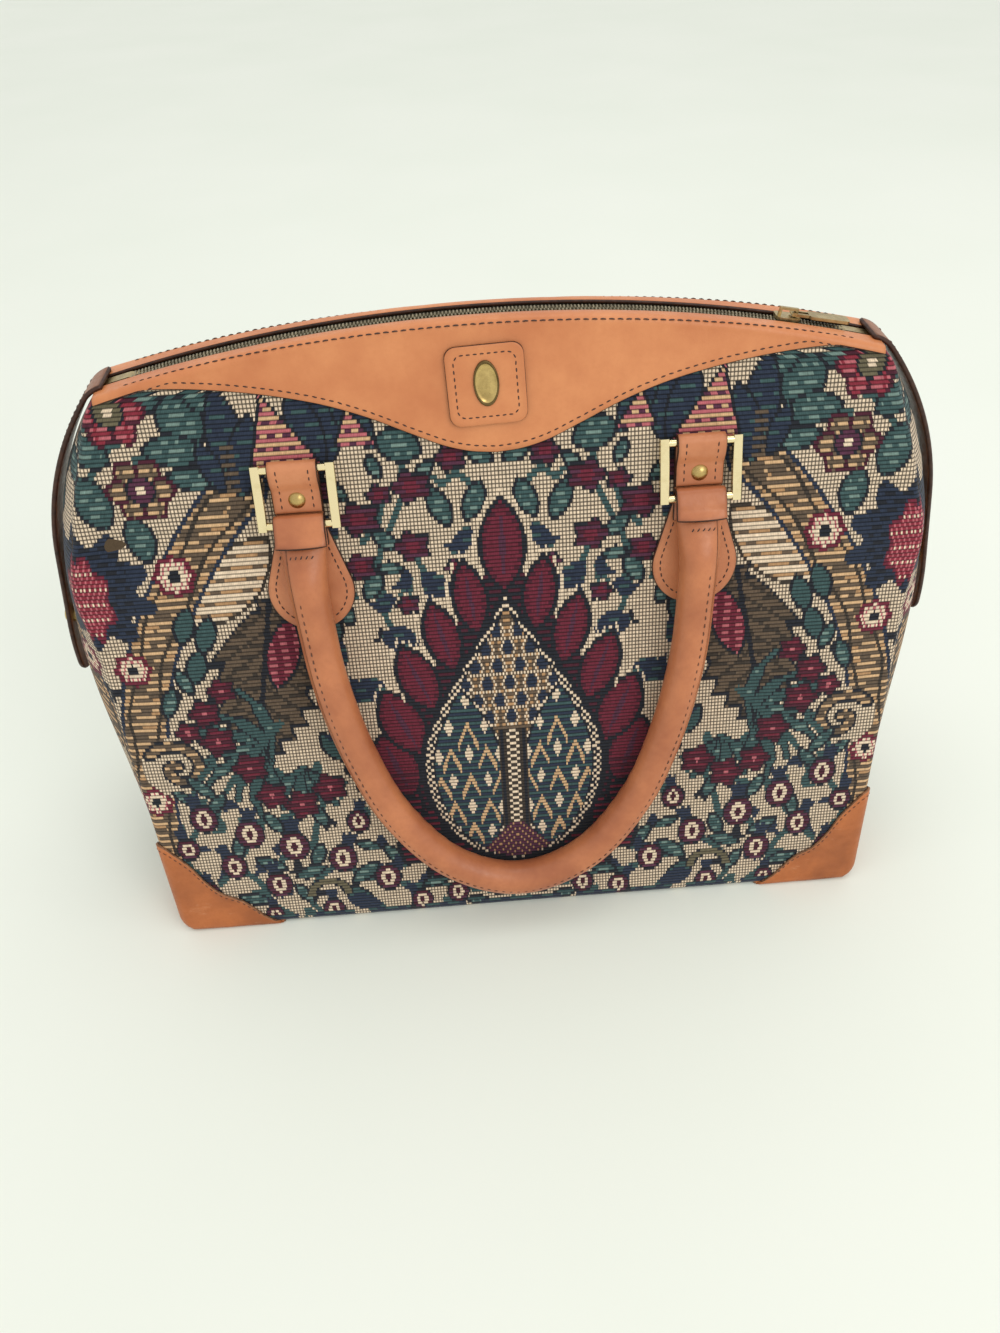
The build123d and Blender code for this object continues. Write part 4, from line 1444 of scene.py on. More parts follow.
    def draw_drop(self) -> None:
        """The great drop in the middle: dotted outline, ringed ovals above, chevrons below."""
        deep = (self.u - Profile(self.drop)(self.s)) * 0.86
        deep = np.where((self.s > self.drop[0][0]) & (self.s < self.drop[-1][0]), deep, 9.0)
        self.lay(deep < 3.4, Yarn.INK)
        self.dots((deep < 0.6) & (deep > -1.6))
        inside = deep < -2.6
        self.lay(inside, Yarn.BROWN)
        self.dots(inside & self.even, Yarn.TAN)
        for i in range(6):
            for k in range(-1, 4):
                place = (12.0 * k + 6.0 * (i % 2), 136.0 + 10.5 * i)
                ring = (self.oval(place, 9.5, 12.5) < 0) & inside & (self.s > 128)
                self.lay(ring & ((self.row + self.half_col) % 2 == 0), Yarn.CREAM)
                self.lay((self.oval(place, 5.6, 8.4) < 0) & inside & (self.s > 128), Yarn.NAVY)
        lobe = np.maximum(self.lens((27.5, 94), 128, 46, 88), deep + 3.4)
        self.lay(lobe < 1.6, Yarn.INK)
        self.dots((lobe < 1.6) & (lobe > 0.2))
        green = lobe < -0.6
        self.lay(green, Yarn.TEAL)
        self.lay(green & self.even, Yarn.NAVY)
        for u, s in self.chevrons:
            from_axis = np.abs(self.u - u)
            line = np.abs(self.s - (s + 6.5 - 2.5 * from_axis)) < 3.0
            self.lay(green & line & (from_axis < 5.4), Yarn.SAND)
        for u, s in self.diamonds:
            self.lay(green & (np.abs(self.u - u) / 2.6 + np.abs(self.s - s) / 6.0 < 1), Yarn.CREAM)
        stalk = (self.u < 7.5) & inside & (self.s < 128)
        self.lay(stalk, Yarn.BARK)
        self.dots(stalk & (self.u < 3.4) & (self.s > 62))
        self.lay(stalk & (np.abs(self.u - 6.4) < 0.9), Yarn.INK)
        low = inside & (self.s < 62) & (self.u < (62 - self.s) * 0.9 + 4)
        self.lay(low, Yarn.PLUM)
        self.lay(low & ((self.row * 2 + self.half_col) % 5 == 0), Yarn.TAN)

    def draw_floor_border(self) -> None:
        """The dark strip along the floor."""
        strip = (self.s < 5.5) & (np.mod(self.u, 34) < 25)
        self.lay(strip, Yarn.NAVY)
        self.lay(strip & self.even & (self.col % 7 < 4), Yarn.TEAL)


def paint_cloth(piece: Piece, across: Array, up: Array) -> None:
    """Weaves the drawing into a piece: a colour and a ground mark for each face, and a map in metres.

    Args:
        piece: the mesh.
        across: each point's place across the repeat, in millimetres.
        up: each point's place up it.
    """
    mesh = piece.data
    corner_point = np.zeros(len(mesh.loops), np.int32)
    mesh.loops.foreach_get("vertex_index", corner_point)
    sides = np.zeros(len(mesh.polygons), np.int32)
    mesh.polygons.foreach_get("loop_total", sides)
    face_of = np.repeat(np.arange(len(sides)), sides)
    cu = np.bincount(face_of, across[corner_point]) / sides
    cs = np.bincount(face_of, up[corner_point]) / sides
    cloth = Cartoon(cu, cs).weave()
    draw = np.random.default_rng(SEED)
    vary = 1 + draw.normal(0, 0.07, len(sides))
    streak = 1 + 0.06 * np.sin(cloth.row * 1.7) * np.sin(cloth.row * 0.37 + 1)
    rgb = np.clip(cloth.dye * (vary * streak)[:, None], 0, 1)
    colour = np.concatenate([rgb, np.ones((len(sides), 1))], axis=1)[face_of]
    layer = mesh.color_attributes.new("yarn", "FLOAT_COLOR", "CORNER")
    layer.data.foreach_set("color", colour.astype(np.float32).ravel())
    mark = mesh.attributes.new("ground", "FLOAT", "CORNER")
    mark.data.foreach_set("value", cloth.ground[face_of].astype(np.float32))
    weave = mesh.uv_layers.new(name="weave")
    uv = np.stack([across[corner_point], up[corner_point]], axis=1) * 0.001
    weave.data.foreach_set("uv", uv.astype(np.float32).ravel())


def coarse_back(rows: int, columns: int, rim: Array, start: int,
                step: int = 13) -> tuple[list[list[int]], list[tuple[int, int]]]:
    """Plans the cloth's wrong side: wide cells that meet the fine rim point by point.

    Args:
        rows: rows of the right side's points.
        columns: columns of them.
        rim: rows by columns, the number of the rim's inner point, or -1 inside.
        start: number of the first new point.
        step: points of the right side to one cell.

    Returns:
        The faces, and the row and column of each new point.
    """
    at_row = np.unique(np.linspace(0, rows - 1, max(2, rows // step)).astype(int))
    at_column = np.unique(np.linspace(0, columns - 1, max(2, columns // step)).astype(int))
    number = rim.copy()
    added = [(int(r), int(c)) for r in at_row[1:-1] for c in at_column[1:-1]]
    for k, (r, c) in enumerate(added):
        number[r, c] = start + k
    last_row, last_column = rows - 1, columns - 1
    faces = []
    for r0, r1 in zip(at_row[:-1], at_row[1:]):
        for c0, c1 in zip(at_column[:-1], at_column[1:]):
            walk = [(0, c) for c in range(c0, c1)] if r0 == 0 else [(r0, c0)]
            walk += [(r, last_column) for r in range(r0, r1)] if c1 == last_column else [(r0, c1)]
            walk += [(last_row, c) for c in range(c1, c0, -1)] if r1 == last_row else [(r1, c1)]
            walk += [(r, 0) for r in range(r1, r0, -1)] if c0 == 0 else [(r1, c0)]
            faces.append([int(number[place]) for place in reversed(walk)])
    return faces, added


def cloth_sheet(name: str, grid: Array, across: Array, up: Array, thickness: float,
                finish: Material) -> Piece:
    """Makes a closed sheet of tapestry: its right side, turned-in rim and coarse wrong side.

    Args:
        name: the piece's name.
        grid: the outside's points, rows by columns by three.
        across: each point's place across the repeat.
        up: each point's place up it.
        thickness: of the cloth.
        finish: the cloth's material.

    Returns:
        The new object.
    """
    rows, columns = grid.shape[:2]
    normal = grid_normals(grid)
    loop = grid_loop(rows, columns)
    inner = grid - normal * thickness
    deep = rows * columns + np.arange(len(loop))
    rim = np.stack([np.roll(loop, -1), loop, deep, np.roll(deep, -1)], axis=1)
    rim_number = np.full(rows * columns, -1)
    rim_number[loop] = deep
    back, added = coarse_back(rows, columns, rim_number.reshape(rows, columns), rows * columns + len(loop))
    source = np.concatenate([loop, [r * columns + c for r, c in added]]).astype(int)
    points = np.concatenate([grid.reshape(-1, 3), inner.reshape(-1, 3)[source]])
    made = make_mesh(name, points, [*np.concatenate([quads(rows, columns), rim]).tolist(), *back], [finish])
    flat_across, flat_up = across.reshape(-1), up.reshape(-1)
    paint_cloth(made, np.concatenate([flat_across, flat_across[source]]),
                np.concatenate([flat_up, flat_up[source]]))
    return made


# ---------------------------------------------------------------- the cloth body

@dataclass
class TapestryPanel:
    """The front or the back: one piece of tapestry, turned in round its edges."""

    face: Face
    column: float = 0.9
    row: float = 2.1
    half_width: float = 218.0
    top: float = 330.0
    cloth: float = 1.8

    def build(self, finishes: Finishes) -> Piece:
        """Makes the panel.

        Args:
            finishes: the bag's finishes.

        Returns:
            The piece, riding on the bag.
        """
        turned = FORM.corner * (math.pi / 2 - 1)
        s = np.arange(0, self.top + self.row / 2, self.row)[:, None]
        count = int(2 * (self.half_width + turned) / self.column)
        t = np.linspace(-1, 1, count)[None, :]
        reach = FORM.edge(s) + FORM.corner_at(s) * (math.pi / 2 - 1)
        across = t * reach
        q = np.abs(across) - FORM.edge(s)
        right = FORM.skin(q, s, End.RIGHT)
        left = FORM.skin(q, s, End.LEFT)
        grid = np.where((across >= 0)[..., None], right, left)
        up = np.broadcast_to(s, across.shape)
        if self.face is Face.BACK:
            grid, across, up = turn_round(grid, self.face), across[:, ::-1], up[:, ::-1]
        name = f"tapestry_{self.face.word}"
        made = cloth_sheet(name, grid, across, up, self.cloth, finishes.tapestry)
        seat(made, f"panel_{self.face.word}")
        return made


@dataclass
class TapestryGusset:
    """One swelling end wall."""

    end: End
    columns: int = 130
    row: float = 2.1
    top: float = 321.9
    cloth: float = 1.8

    def build(self, finishes: Finishes) -> Piece:
        """Makes the gusset.

        Args:
            finishes: the bag's finishes.

        Returns:
            The piece, riding on the bag.
        """
        s = np.linspace(0, self.top, int(self.top / self.row) + 1)[:, None]
        t = np.linspace(0, 1, self.columns // 2 + 1)[None, :]
        radius = FORM.corner_at(s)
        first = radius * (math.pi / 2 - 1)
        half = FORM.half_depth - s * math.sin(FORM.lean) - radius
        q = first + t * half
        front = FORM.skin(q + 1e-4, s, self.end)
        grid = np.concatenate([front, turn_round(front, Face.BACK)[:, 1:]], axis=1)
        across_front = FORM.edge(s) + q
        across = np.concatenate([across_front, across_front[:, ::-1][:, 1:]], axis=1)
        up = np.broadcast_to(s, across.shape)
        if self.end is End.LEFT:
            grid, across, up = grid[:, ::-1], across[:, ::-1], up[:, ::-1]
        name = f"tapestry_end_{self.end.word}"
        made = cloth_sheet(name, grid, across, up, self.cloth, finishes.tapestry)
        seat(made, f"gusset_{self.end.word}")
        return made


@dataclass
class BasePanel:
    """The flat bottom, held out by its board."""

    inset: float = 2.6
    row: float = 4.2
    cloth: float = 1.8

    def build(self, finishes: Finishes) -> Piece:
        """Makes the base.

        Args:
            finishes: the bag's finishes.

        Returns:
            The piece, riding on the bag.
        """
        wide = FORM.edge(np.array(0.0)) - 1.0
        deep = FORM.half_depth - self.inset
        x = np.linspace(wide, -wide, 110)[None, :]
        y = np.linspace(-deep, deep, int(2 * deep / self.row))[:, None]
        x, y = np.broadcast_arrays(x, y)
        lift = 0.25 * (1 - np.cos(x / 31.0) * np.cos(y / 22.0))
        grid = np.stack([x, y, lift], axis=-1)
        made = cloth_sheet("tapestry_base", grid, x, y + deep, self.cloth, finishes.tapestry)
        seat(made, "base_panel")
        return made


# ---------------------------------------------------------------- leather on the body

@dataclass
class Yoke:
    """Scalloped leather along the zip, rolled over the top edge and sewn in two rows."""

    face: Face
    leather: float = 1.8
    half_gap: float = 6.0
    roll: float = 3.0
    reach: float = 184.0
    lower_edge: Points = ((0, 285.0), (12, 286.2), (24, 289.4), (40, 296.4), (60, 305.6), (80, 312.8),
                          (100, 317.8), (120, 321.4), (140, 323.8), (160, 324.8), (186, 323.0))
    seam_in: float = 2.8
    seam_from_zip: float = 7.5

    def section(self, x: float, low: float, lift: float) -> Array:
        """The yoke's line at a place along the zip, from its lower edge over the roll to the zip.

        Args:
            x: place along the zip.
            low: where the line starts, up the face.
            lift: how far outside the cloth it lies.

        Returns:
            Points of the line.
        """
        height = float(FORM.arch(x))
        top = height / math.cos(FORM.lean)
        face = [FORM.on_face(x, s, lift) for s in np.linspace(low, max(top - self.roll * 0.9, low + 0.3), 22)]
        bend = math.pi / 2 - FORM.lean
        tangent = self.roll * math.tan(bend / 2)
        face_top = FORM.on_face(x, top, lift)
        corner = np.array([x, face_top[1], height + lift])
        slope = unit(face_top - FORM.on_face(x, top - 5, lift))
        inward = np.array([0.0, 1.0, 0.0])
        start, stop = corner - slope * tangent, corner + inward * tangent
        curve = [(1 - t) ** 2 * start + 2 * t * (1 - t) * corner + t * t * stop
                 for t in np.linspace(0, 1, 9)]
        edge = np.array([x, -self.half_gap, height + lift])
        last = [stop + (edge - stop) * t for t in np.linspace(0.2, 1, 5)]
        ahead = [p for p in face if (p - start) @ slope < -0.05]
        return resample(np.array([*ahead, *curve, *last]), 34)

    def build(self, finishes: Finishes) -> list[Piece]:
        """Makes the yoke and its stitches.

        Args:
            finishes: the bag's finishes.

        Returns:
            The pieces.
        """
        name, sign = self.face.word, self.face.sign
        low = Profile(self.lower_edge)
        xs = np.linspace(-self.reach, self.reach, 185)
        tops = FORM.arch(xs) / math.cos(FORM.lean)
        lows = np.minimum(low(np.abs(xs)), tops - 0.8)
        columns = [self.section(x, s, self.leather / 2 + 0.1) for x, s in zip(xs, lows)]
        grid = turn_round(np.stack(columns, axis=1), self.face)
        yoke = make_slab(f"yoke_leather_{name}", grid, self.leather, finishes.tan, finishes.edge_dark,
                         reach=5.0)
        seat(yoke, f"yoke_{name}")
        inner = np.linspace(-self.reach + 14, self.reach - 14, 150)
        seam = np.minimum(low(np.abs(inner)) + self.seam_in, FORM.arch(inner) / math.cos(FORM.lean) - 2.2)
        on_top = self.leather + 0.15
        lower = FORM.on_face(inner, seam, on_top)
        along_zip = []
        for x in inner:
            start = float(FORM.arch(x)) / math.cos(FORM.lean) - 12
            back = self.section(float(x), start, on_top)[::-1]
            along_zip.append([np.interp(self.seam_from_zip, run_along(back), back[:, k]) for k in range(3)])
        out_top = unit(FORM.out + np.array([0, 0, 0.8]))
        rows = [(lower * sign, FORM.out * sign), (np.array(along_zip) * sign, out_top * sign)]
        sewn = make_stitches(f"yoke_stitches_{name}", rows, finishes.thread_dark, 3.9, 2.8, 0.75)
        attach(sewn, "bag")
        return [yoke, sewn]


@dataclass
class CornerPatch:
    """Thick leather over a bottom corner, worn along its edges."""

    face: Face
    end: End
    leather: float = 1.8
    lift: float = 0.7
    seam_share: float = 0.93
    upper_edge: Points = ((-54.5, 1.6), (-50, 7.5), (-46, 13), (-39, 20.5), (-28, 27.5), (-21, 37),
                          (-15.5, 48), (-8, 58.5), (-1, 65.5), (7, 60), (18, 46), (34, 24), (46, 1.6))

    def build(self, finishes: Finishes) -> list[Piece]:
        """Makes the patch and its stitches.

        Args:
            finishes: the bag's finishes.

        Returns:
            The pieces, riding on the bag.
        """
        q = np.concatenate([np.linspace(-54.5, -5, 40), np.linspace(-4, 3, 12), np.linspace(4.2, 46, 34)])
        t = np.linspace(0, 1, 36)[:, None]
        top = np.maximum(Profile(self.upper_edge)(q), 1.6)[None, :]
        s = self.lift + (top - self.lift) * t
        skin = FORM.skin(np.broadcast_to(q, s.shape), s, self.end)
        if self.end is End.LEFT:
            skin = skin[:, ::-1]
        grid = turn_round(skin, self.face)
        out = grid_normals(grid)
        row = round(len(t) * self.seam_share)
        sewn_at = grid[row, 5:-5] + out[row, 5:-5] * (self.leather + 0.25)
        grid = grid + out * (self.leather / 2 + 0.15)
        grid[..., 2] = np.maximum(grid[..., 2], 0.9)
        name = f"{self.face.word}_{self.end.word}"
        made = make_slab(f"corner_leather_{name}", grid, self.leather, finishes.corner, finishes.edge_worn,
                         reach=3.0)
        seat(made, f"corner_patch_{name}")
        sewn = make_stitches(f"corner_stitches_{name}", [(sewn_at, out[row, 5:-5])], finishes.thread_mid,
                             3.6, 2.5, 0.65)
        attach(sewn, "bag")
        return [made, sewn]


@dataclass
class Badge:
    """Square leather patch with stitched border and a bare oval plate."""

    size: float = 36.0
    corner: float = 5.0
    place: Place = (-3.5, 317.04)
    tilt: float = math.radians(2.0)
    leather: float = 1.8
    plate_wide: float = 12.0
    plate_high: float = 21.0
    plate_steps: Points = ((1.0, 0.0), (1.0, 0.75), (0.985, 1.05), (0.95, 1.25), (0.90, 1.25),
                           (0.865, 1.05), (0.85, 0.8), (0.6, 0.86), (0.3, 0.9), (0.0, 0.92))
    rim_steps: int = 6
    base: float = 1.9

    def ring(self, share: float, per_corner: int = 8, per_side: int = 8) -> Array:
        """Points round the patch's rounded square, scaled from its middle.

        Args:
            share: of the patch's size.
            per_corner: points round a corner.
            per_side: points along a side.

        Returns:
            The points, across and up.
        """
        half, r = self.size / 2, self.corner
        out = []
        for k in range(4):
            turn = k * math.pi / 2
            centre = np.array([half - r, half - r])
            arc = [centre + r * np.array([math.cos(a), math.sin(a)])
                   for a in np.linspace(0, math.pi / 2, per_corner)]
            run = [np.array([half - r - t * 2 * (half - r), half])
                   for t in np.linspace(0, 1, per_side + 2)[1:-1]]
            spin = np.array([[math.cos(turn), -math.sin(turn)], [math.sin(turn), math.cos(turn)]])
            out += [spin @ p for p in arc + run]
        return np.array(out) * share

    def put(self, flat: Array, n: object) -> Array:
        """Places points of the badge on the yoke.

        Args:
            flat: across and up from the badge's middle.
            n: out of the face.

        Returns:
            The points in the frame.
        """
        cos, sin = math.cos(self.tilt), math.sin(self.tilt)
        u = self.place[0] + flat[..., 0] * cos - flat[..., 1] * sin
        s = self.place[1] + flat[..., 0] * sin + flat[..., 1] * cos
        return FORM.on_face(u, s, n)

    def build(self, finishes: Finishes) -> list[Piece]:
        """Makes the patch, its stitches and the plate.

        Args:
            finishes: the bag's finishes.

        Returns:
            The pieces.
        """
        shares = np.array([0.0, 0.25, 0.5, 0.7, 0.8, 0.88, 0.94, 0.98, 1.0])
        flat = np.stack([self.ring(share) for share in shares])
        hump = 0.35 * np.exp(-((shares - 0.94) / 0.05) ** 2)[:, None]
        middle = self.base + self.leather / 2 + hump
        grid = self.put(flat, np.broadcast_to(middle, flat.shape[:2]))
        patch = make_slab("badge_leather", grid, self.leather, finishes.tan, finishes.edge_dark, closed=True,
                          reach=3.4)
        seat(patch, "badge_patch")
        seam = self.ring(0.80)
        seam = np.vstack([seam, seam[:1]])
        row = self.put(seam, self.base + self.leather + 0.12)
        sewn = make_stitches("badge_stitches", [(row, FORM.out)], finishes.thread_dark, 3.1, 2.2, 0.65)
        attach(sewn, "bag")
        return [patch, sewn, self.plate(finishes)]

    def plate(self, finishes: Finishes) -> Piece:
        """Makes the bare oval plate with its raised rim.

        Args:
            finishes: the bag's finishes.

        Returns:
            The piece, riding on the bag.
        """
        middle = np.array([0, 1.0])
        angles = np.linspace(0, 2 * math.pi, 48, endpoint=False)
        oval = np.stack([np.cos(angles) * self.plate_wide / 2, np.sin(angles) * self.plate_high / 2], axis=-1)
        lift = self.base + self.leather - 0.1
        rings = np.stack([self.put(oval * share + middle, lift + high) for share, high in self.plate_steps])
        columns = rings.shape[1]
        under = self.put(middle[None, :], lift)
        points = np.concatenate([rings.reshape(-1, 3), under])
        faces = quads(len(rings), columns, closed=True).tolist()
        index = [0 if i // columns < self.rim_steps else 1 for i in range(len(faces))]
        last = len(points) - 1
        faces += [[(i + 1) % columns, i, last] for i in range(columns)]
        index += [0] * columns
        plate = make_mesh("badge_plate_oval", points, faces, [finishes.plate_rim, finishes.antique], index)
        weld(plate)
        seat(plate, "badge_plate")
        return plate


# ---------------------------------------------------------------- chapes and handles

@dataclass
class Chape:
    """Pear-shaped patch whose neck goes over the ring's bar and is folded back."""

    face: Face
    end: End
    spread: float = 98.0
    hole: float = 284.04
    bar: float = 4.08
    strap: float = 2.0
    half_width: float = 11.5
    pear: float = 21.5
    pear_drop: float = 64.5
    round_up: float = 6.4
    seam_in: float = 3.7
    fold_seam_in: float = 3.8
    neck_drop: float = 29.0
    tail_drop: float = 21.8

    def width_at(self, s: Array) -> Array:
        """Half-width of the back layer.

        Args:
            s: place up the face.

        Returns:
            The half-width there.
        """
        centre = self.hole - self.pear_drop
        neck = self.hole - self.neck_drop
        touch = centre + self.round_up
        touch_width = math.sqrt(self.pear**2 - self.round_up**2)
        low = np.sqrt(np.clip(self.pear**2 - (s - centre) ** 2, 0.04, None))
        taper = touch_width + (self.half_width - touch_width) * np.clip((s - touch) / (neck - touch), 0, 1)
        return np.where(s < touch, low, taper)

    def build(self, finishes: Finishes) -> list[Piece]:
        """Makes the chape and its stitches.

        Args:
            finishes: the bag's finishes.

        Returns:
            The pieces.
        """
        half, centre = self.strap / 2, self.hole - self.pear_drop
        rise = centre - self.pear * np.cos(np.linspace(0.02, math.pi / 2, 18))
        up = np.concatenate([rise, np.linspace(centre + 2, self.hole - 1, 24)])
        line = [(s, half, w) for s, w in zip(up, self.width_at(up))]
        middle = self.bar - half
        for angle in np.linspace(-math.pi / 2, math.pi / 2, 13):
            line.append((self.hole + middle * math.cos(angle), self.bar + middle * math.sin(angle),
                         self.half_width))
        fold = ((-2.5, 7.0), (-6, 5.9), (-10, 3.7), (-13, 3.1), (-17, 3.05), (-self.tail_drop, 3.15))
        for s, n in smooth_path([(self.hole + drop, n) for drop, n in fold], 5):
            line.append((s, n, self.half_width))
        t = np.linspace(-1, 1, 19)
        shape = np.array(line)
        u = shape[:, 2:3] * t[None, :]
        lie = np.broadcast_to(shape[:, 1:2], u.shape).copy()
        tail = np.arange(len(shape)) > len(up) + 12
        lie[tail] += 0.35 * (t[None, :] ** 2)
        s = np.broadcast_to(shape[:, 0:1], u.shape)
        axis = self.end.value * self.spread
        grid = turn_round(FORM.on_face(u + axis, s, lie + 0.12), self.face)
        name = f"{self.face.word}_{self.end.word}"
        made = make_slab(f"chape_leather_{name}", grid, self.strap - 0.15, finishes.chape,
                         finishes.edge_dark, reach=2.6)
        seat(made, f"chape_{name}")
        over = ((1.2, 8.0), (-2.5, 8.12), (-6, 7.0), (-10, 4.85), (-13.2, 4.2), (-20.5, 4.15))
        over = smooth_path([(self.hole + drop, n) for drop, n in over], 5)
        inset = self.half_width - self.fold_seam_in
        rows = [FORM.on_face(axis + side * inset, over[:, 0], over[:, 1] + 0.15) for side in (-1, 1)]
        low = np.linspace(centre + 24, centre - self.pear + self.seam_in, 30)
        wide = np.clip(self.width_at(low) - self.seam_in, 0, None)
        bend = np.sqrt(np.clip((self.pear - self.seam_in) ** 2 - (low - centre) ** 2, 0, None))
        wide = np.where(low < centre, bend, wide)
        around = np.concatenate([np.stack([wide, low], 1), np.stack([-wide[::-1], low[::-1]], 1)])
        rows.append(FORM.on_face(axis + around[:, 0], around[:, 1], self.strap + 0.22))
        sign = self.face.sign
        sewn = make_stitches(f"chape_stitches_{name}", [(row * sign, FORM.out * sign) for row in rows],
                             finishes.thread_dark, 3.5, 2.5, 0.7)
        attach(sewn, "bag")
        return [made, sewn]


@dataclass
class Handle:
    """Rolled leather handle: a wrapped tube, flattened into a loop at each end."""

    face: Face
    spread: float = 98.0
    bar_height: float = 258.0
    bar_out: float = 7.0
    strap: float = 2.0
    bore: float = 2.08
    loop_half: float = 12.0
    radius: float = 9.4
    out: float = 12.2
    clear: float = 2.3
    cross_half: float = 6.5
    cross_drop: float = 14.0
    cross_stand: float = 18.1
    line: Points = ((98.0, 250.0), (97.9, 236.0), (97.4, 212.0), (94.0, 172.0), (84.5, 126.0), (67.0, 82.0),
                    (39.0, 46.5), (0.0, 31.6))
    round_points: int = 44
    overlap: float = 0.55
    seam_angle: float = math.radians(38.0)
    seam_in: float = math.radians(-17.0)

    def path(self) -> Array:
        """Draws the roll's middle line on the face.

        Returns:
            Places across and up, left to right.
        """
        right = list(self.line)
        left = [(-u, s) for u, s in right[:-1]]
        return resample(smooth_path([*left, *reversed(right)], 16), 260)

    def build(self, finishes: Finishes) -> list[Piece]:
        """Makes the roll, its two loops and the stitches.

        Args:
            finishes: the bag's finishes.

        Returns:
            The pieces.
        """
        name, sign = self.face.word, self.face.sign
        line = self.path()
        tangent = unit(np.gradient(line, axis=0))
        side = np.stack([tangent[:, 1], -tangent[:, 0]], axis=1)
        run = run_along(line)
        from_end = np.minimum(run, run[-1] - run)
        wide = Profile(((0, 10.6), (4, 10.9), (12, 10.6), (26, 9.6), (40, self.radius)))(from_end)
        thick = Profile(((0, 3.0), (3, 4.2), (9, 6.6), (18, 8.8), (30, self.radius)))(from_end)
        stand = Profile(((0, 7.4), (8, 8.8), (20, 11.4), (34, self.out)))(from_end)
        count = self.round_points
        angles = np.linspace(0, 2 * math.pi, count, endpoint=False)
        seam_index = round(self.seam_angle / (2 * math.pi) * count)
        low = self.crease(line, from_end, angles)
        # angle 0 points out of the face, and grows towards the outer side of the U
        lift = np.where(np.arange(count) > seam_index, 0.0, self.overlap)
        lift[count // 2:] = self.overlap * np.linspace(0, 1, count - count // 2)
        rings = []
        for i, outer in enumerate(side):
            r_side = (wide[i] + lift + low[i]) * np.sin(angles)
            r_out = (thick[i] + lift + low[i]) * np.cos(angles)
            rings.append(FORM.on_face(line[i, 0] + outer[0] * r_side, line[i, 1] + outer[1] * r_side,
                                      np.maximum(stand[i] + r_out, self.clear)))
        grid = np.stack(rings) * sign
        if self.face is Face.BACK:
            grid = grid[:, ::-1]
        rows = len(rings)
        points = np.concatenate([grid.reshape(-1, 3), grid[:1].mean(axis=1), grid[-1:].mean(axis=1)])
        faces = quads(rows, count, closed=True).tolist()
        edge_column = seam_index if self.face is Face.FRONT else count - seam_index - 2
        index = [1 if i % count == edge_column else 0 for i in range(len(faces))]
        first, last = rows * count, rows * count + 1
        faces += [[(k + 1) % count, k, first] for k in range(count)]
        end_ring = (rows - 1) * count
        faces += [[end_ring + k, end_ring + (k + 1) % count, last] for k in range(count)]
        index += [0] * (2 * count)
        roll = make_mesh(f"handle_roll_{name}", points, faces, [finishes.handle, finishes.edge_roll],
                         index)
        self.shade_roll(roll, seam_index, line)
        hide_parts(f"handle_{name}")
        inset = self.seam_angle + self.seam_in
        keep = slice(14, rows - 14)
        outer = side[keep] * math.sin(inset)
        seam_line = line[keep] + outer * (wide[keep] + self.overlap)[:, None]
        seam_stand = stand[keep] + (thick[keep] + self.overlap) * math.cos(inset) + 0.05
        seam_out = FORM.on_face(outer[:, 0], outer[:, 1], math.cos(inset)) - FORM.on_face(0, 0, 0)
        seam = (FORM.on_face(seam_line[:, 0], seam_line[:, 1], seam_stand) * sign, seam_out * sign)
        across = np.linspace(-self.cross_half, self.cross_half, 16)
        high = self.bar_height - self.cross_drop - 0.012 * across**2
        stands = self.cross_stand - 0.028 * across**2
        crosses = [(FORM.on_face(end.value * self.spread + across, high, stands) * sign, FORM.out * sign)
                   for end in End]
        sewn = make_stitches(f"handle_seam_{name}", [seam], finishes.thread_mid, 4.4, 2.7, 0.85)
        loops = [self.loop(end, finishes) for end in End]
        crossed = make_stitches(f"handle_cross_stitches_{name}", crosses, finishes.thread_dark, 2.6, 2.0,
                                0.75, turn=58.0)
        made = [roll, sewn, *loops, crossed]
        for piece in made:
            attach(piece, f"handle_{name}")
        return made

    def crease(self, line: Array, from_end: Array, angles: Array) -> Array:
        """Small folds on the inside of the bends and soft lumps along the roll.

        Args:
            line: the roll's middle line.
            from_end: distance of each of its points from the nearer end.
            angles: places round the roll.

        Returns:
            How far each point stands out, rings by angles.
        """
        inner = np.clip(-np.sin(angles), 0, 1)[None, :]
        at = np.arctan2(line[:, 0], line[:, 1] + 20)[:, None]
        bend = np.exp(-((from_end - from_end.max() * 0.72) / 42) ** 2)[:, None]
        folds = -0.35 * bend * inner * (0.5 + 0.5 * np.sin(from_end[:, None] / 1.9 + 2 * np.sin(at * 3)))
        lumps = 0.16 * np.sin(from_end[:, None] / 13 + np.sin(angles)[None, :] * 1.4)
        near = np.clip(from_end / 30, 0, 1)[:, None]
        return (folds + lumps) * near

    def shade_roll(self, roll: Piece, seam: int, line: Array) -> None:
        """Darkens the roll next to the seam's step, with painted shade on the underside that faces the bag
        and hand wear at the bottom of the U.

        Args:
            roll: the roll.
            seam: number of the seam's point.
            line: the roll's middle line.
        """
        column = np.arange(self.round_points)
        beside = 0.7 * np.exp(-(column - seam - 1.0) ** 2)
        # painted shade: the side of the roll that faces the bag is darkened in the colour
        under = 0.4 * np.clip(-np.cos(column / self.round_points * 2 * math.pi), 0, 1)
        low = 0.35 * np.exp(-((line[:, 1] - 30) / 30) ** 2)
        shade = np.clip(beside[None, :] + under[None, :] + low[:, None], 0, 1)
        if self.face is Face.BACK:
            shade = shade[:, ::-1]
        # the mark carries the darkening next to the seam, the painted shade and the hand wear together
        mark = roll.data.attributes.new("edge_wear_and_shade", "FLOAT", "POINT")
        mark.data.foreach_set("value", np.concatenate([shade.reshape(-1), [0.5, 0.5]]).astype(np.float32))

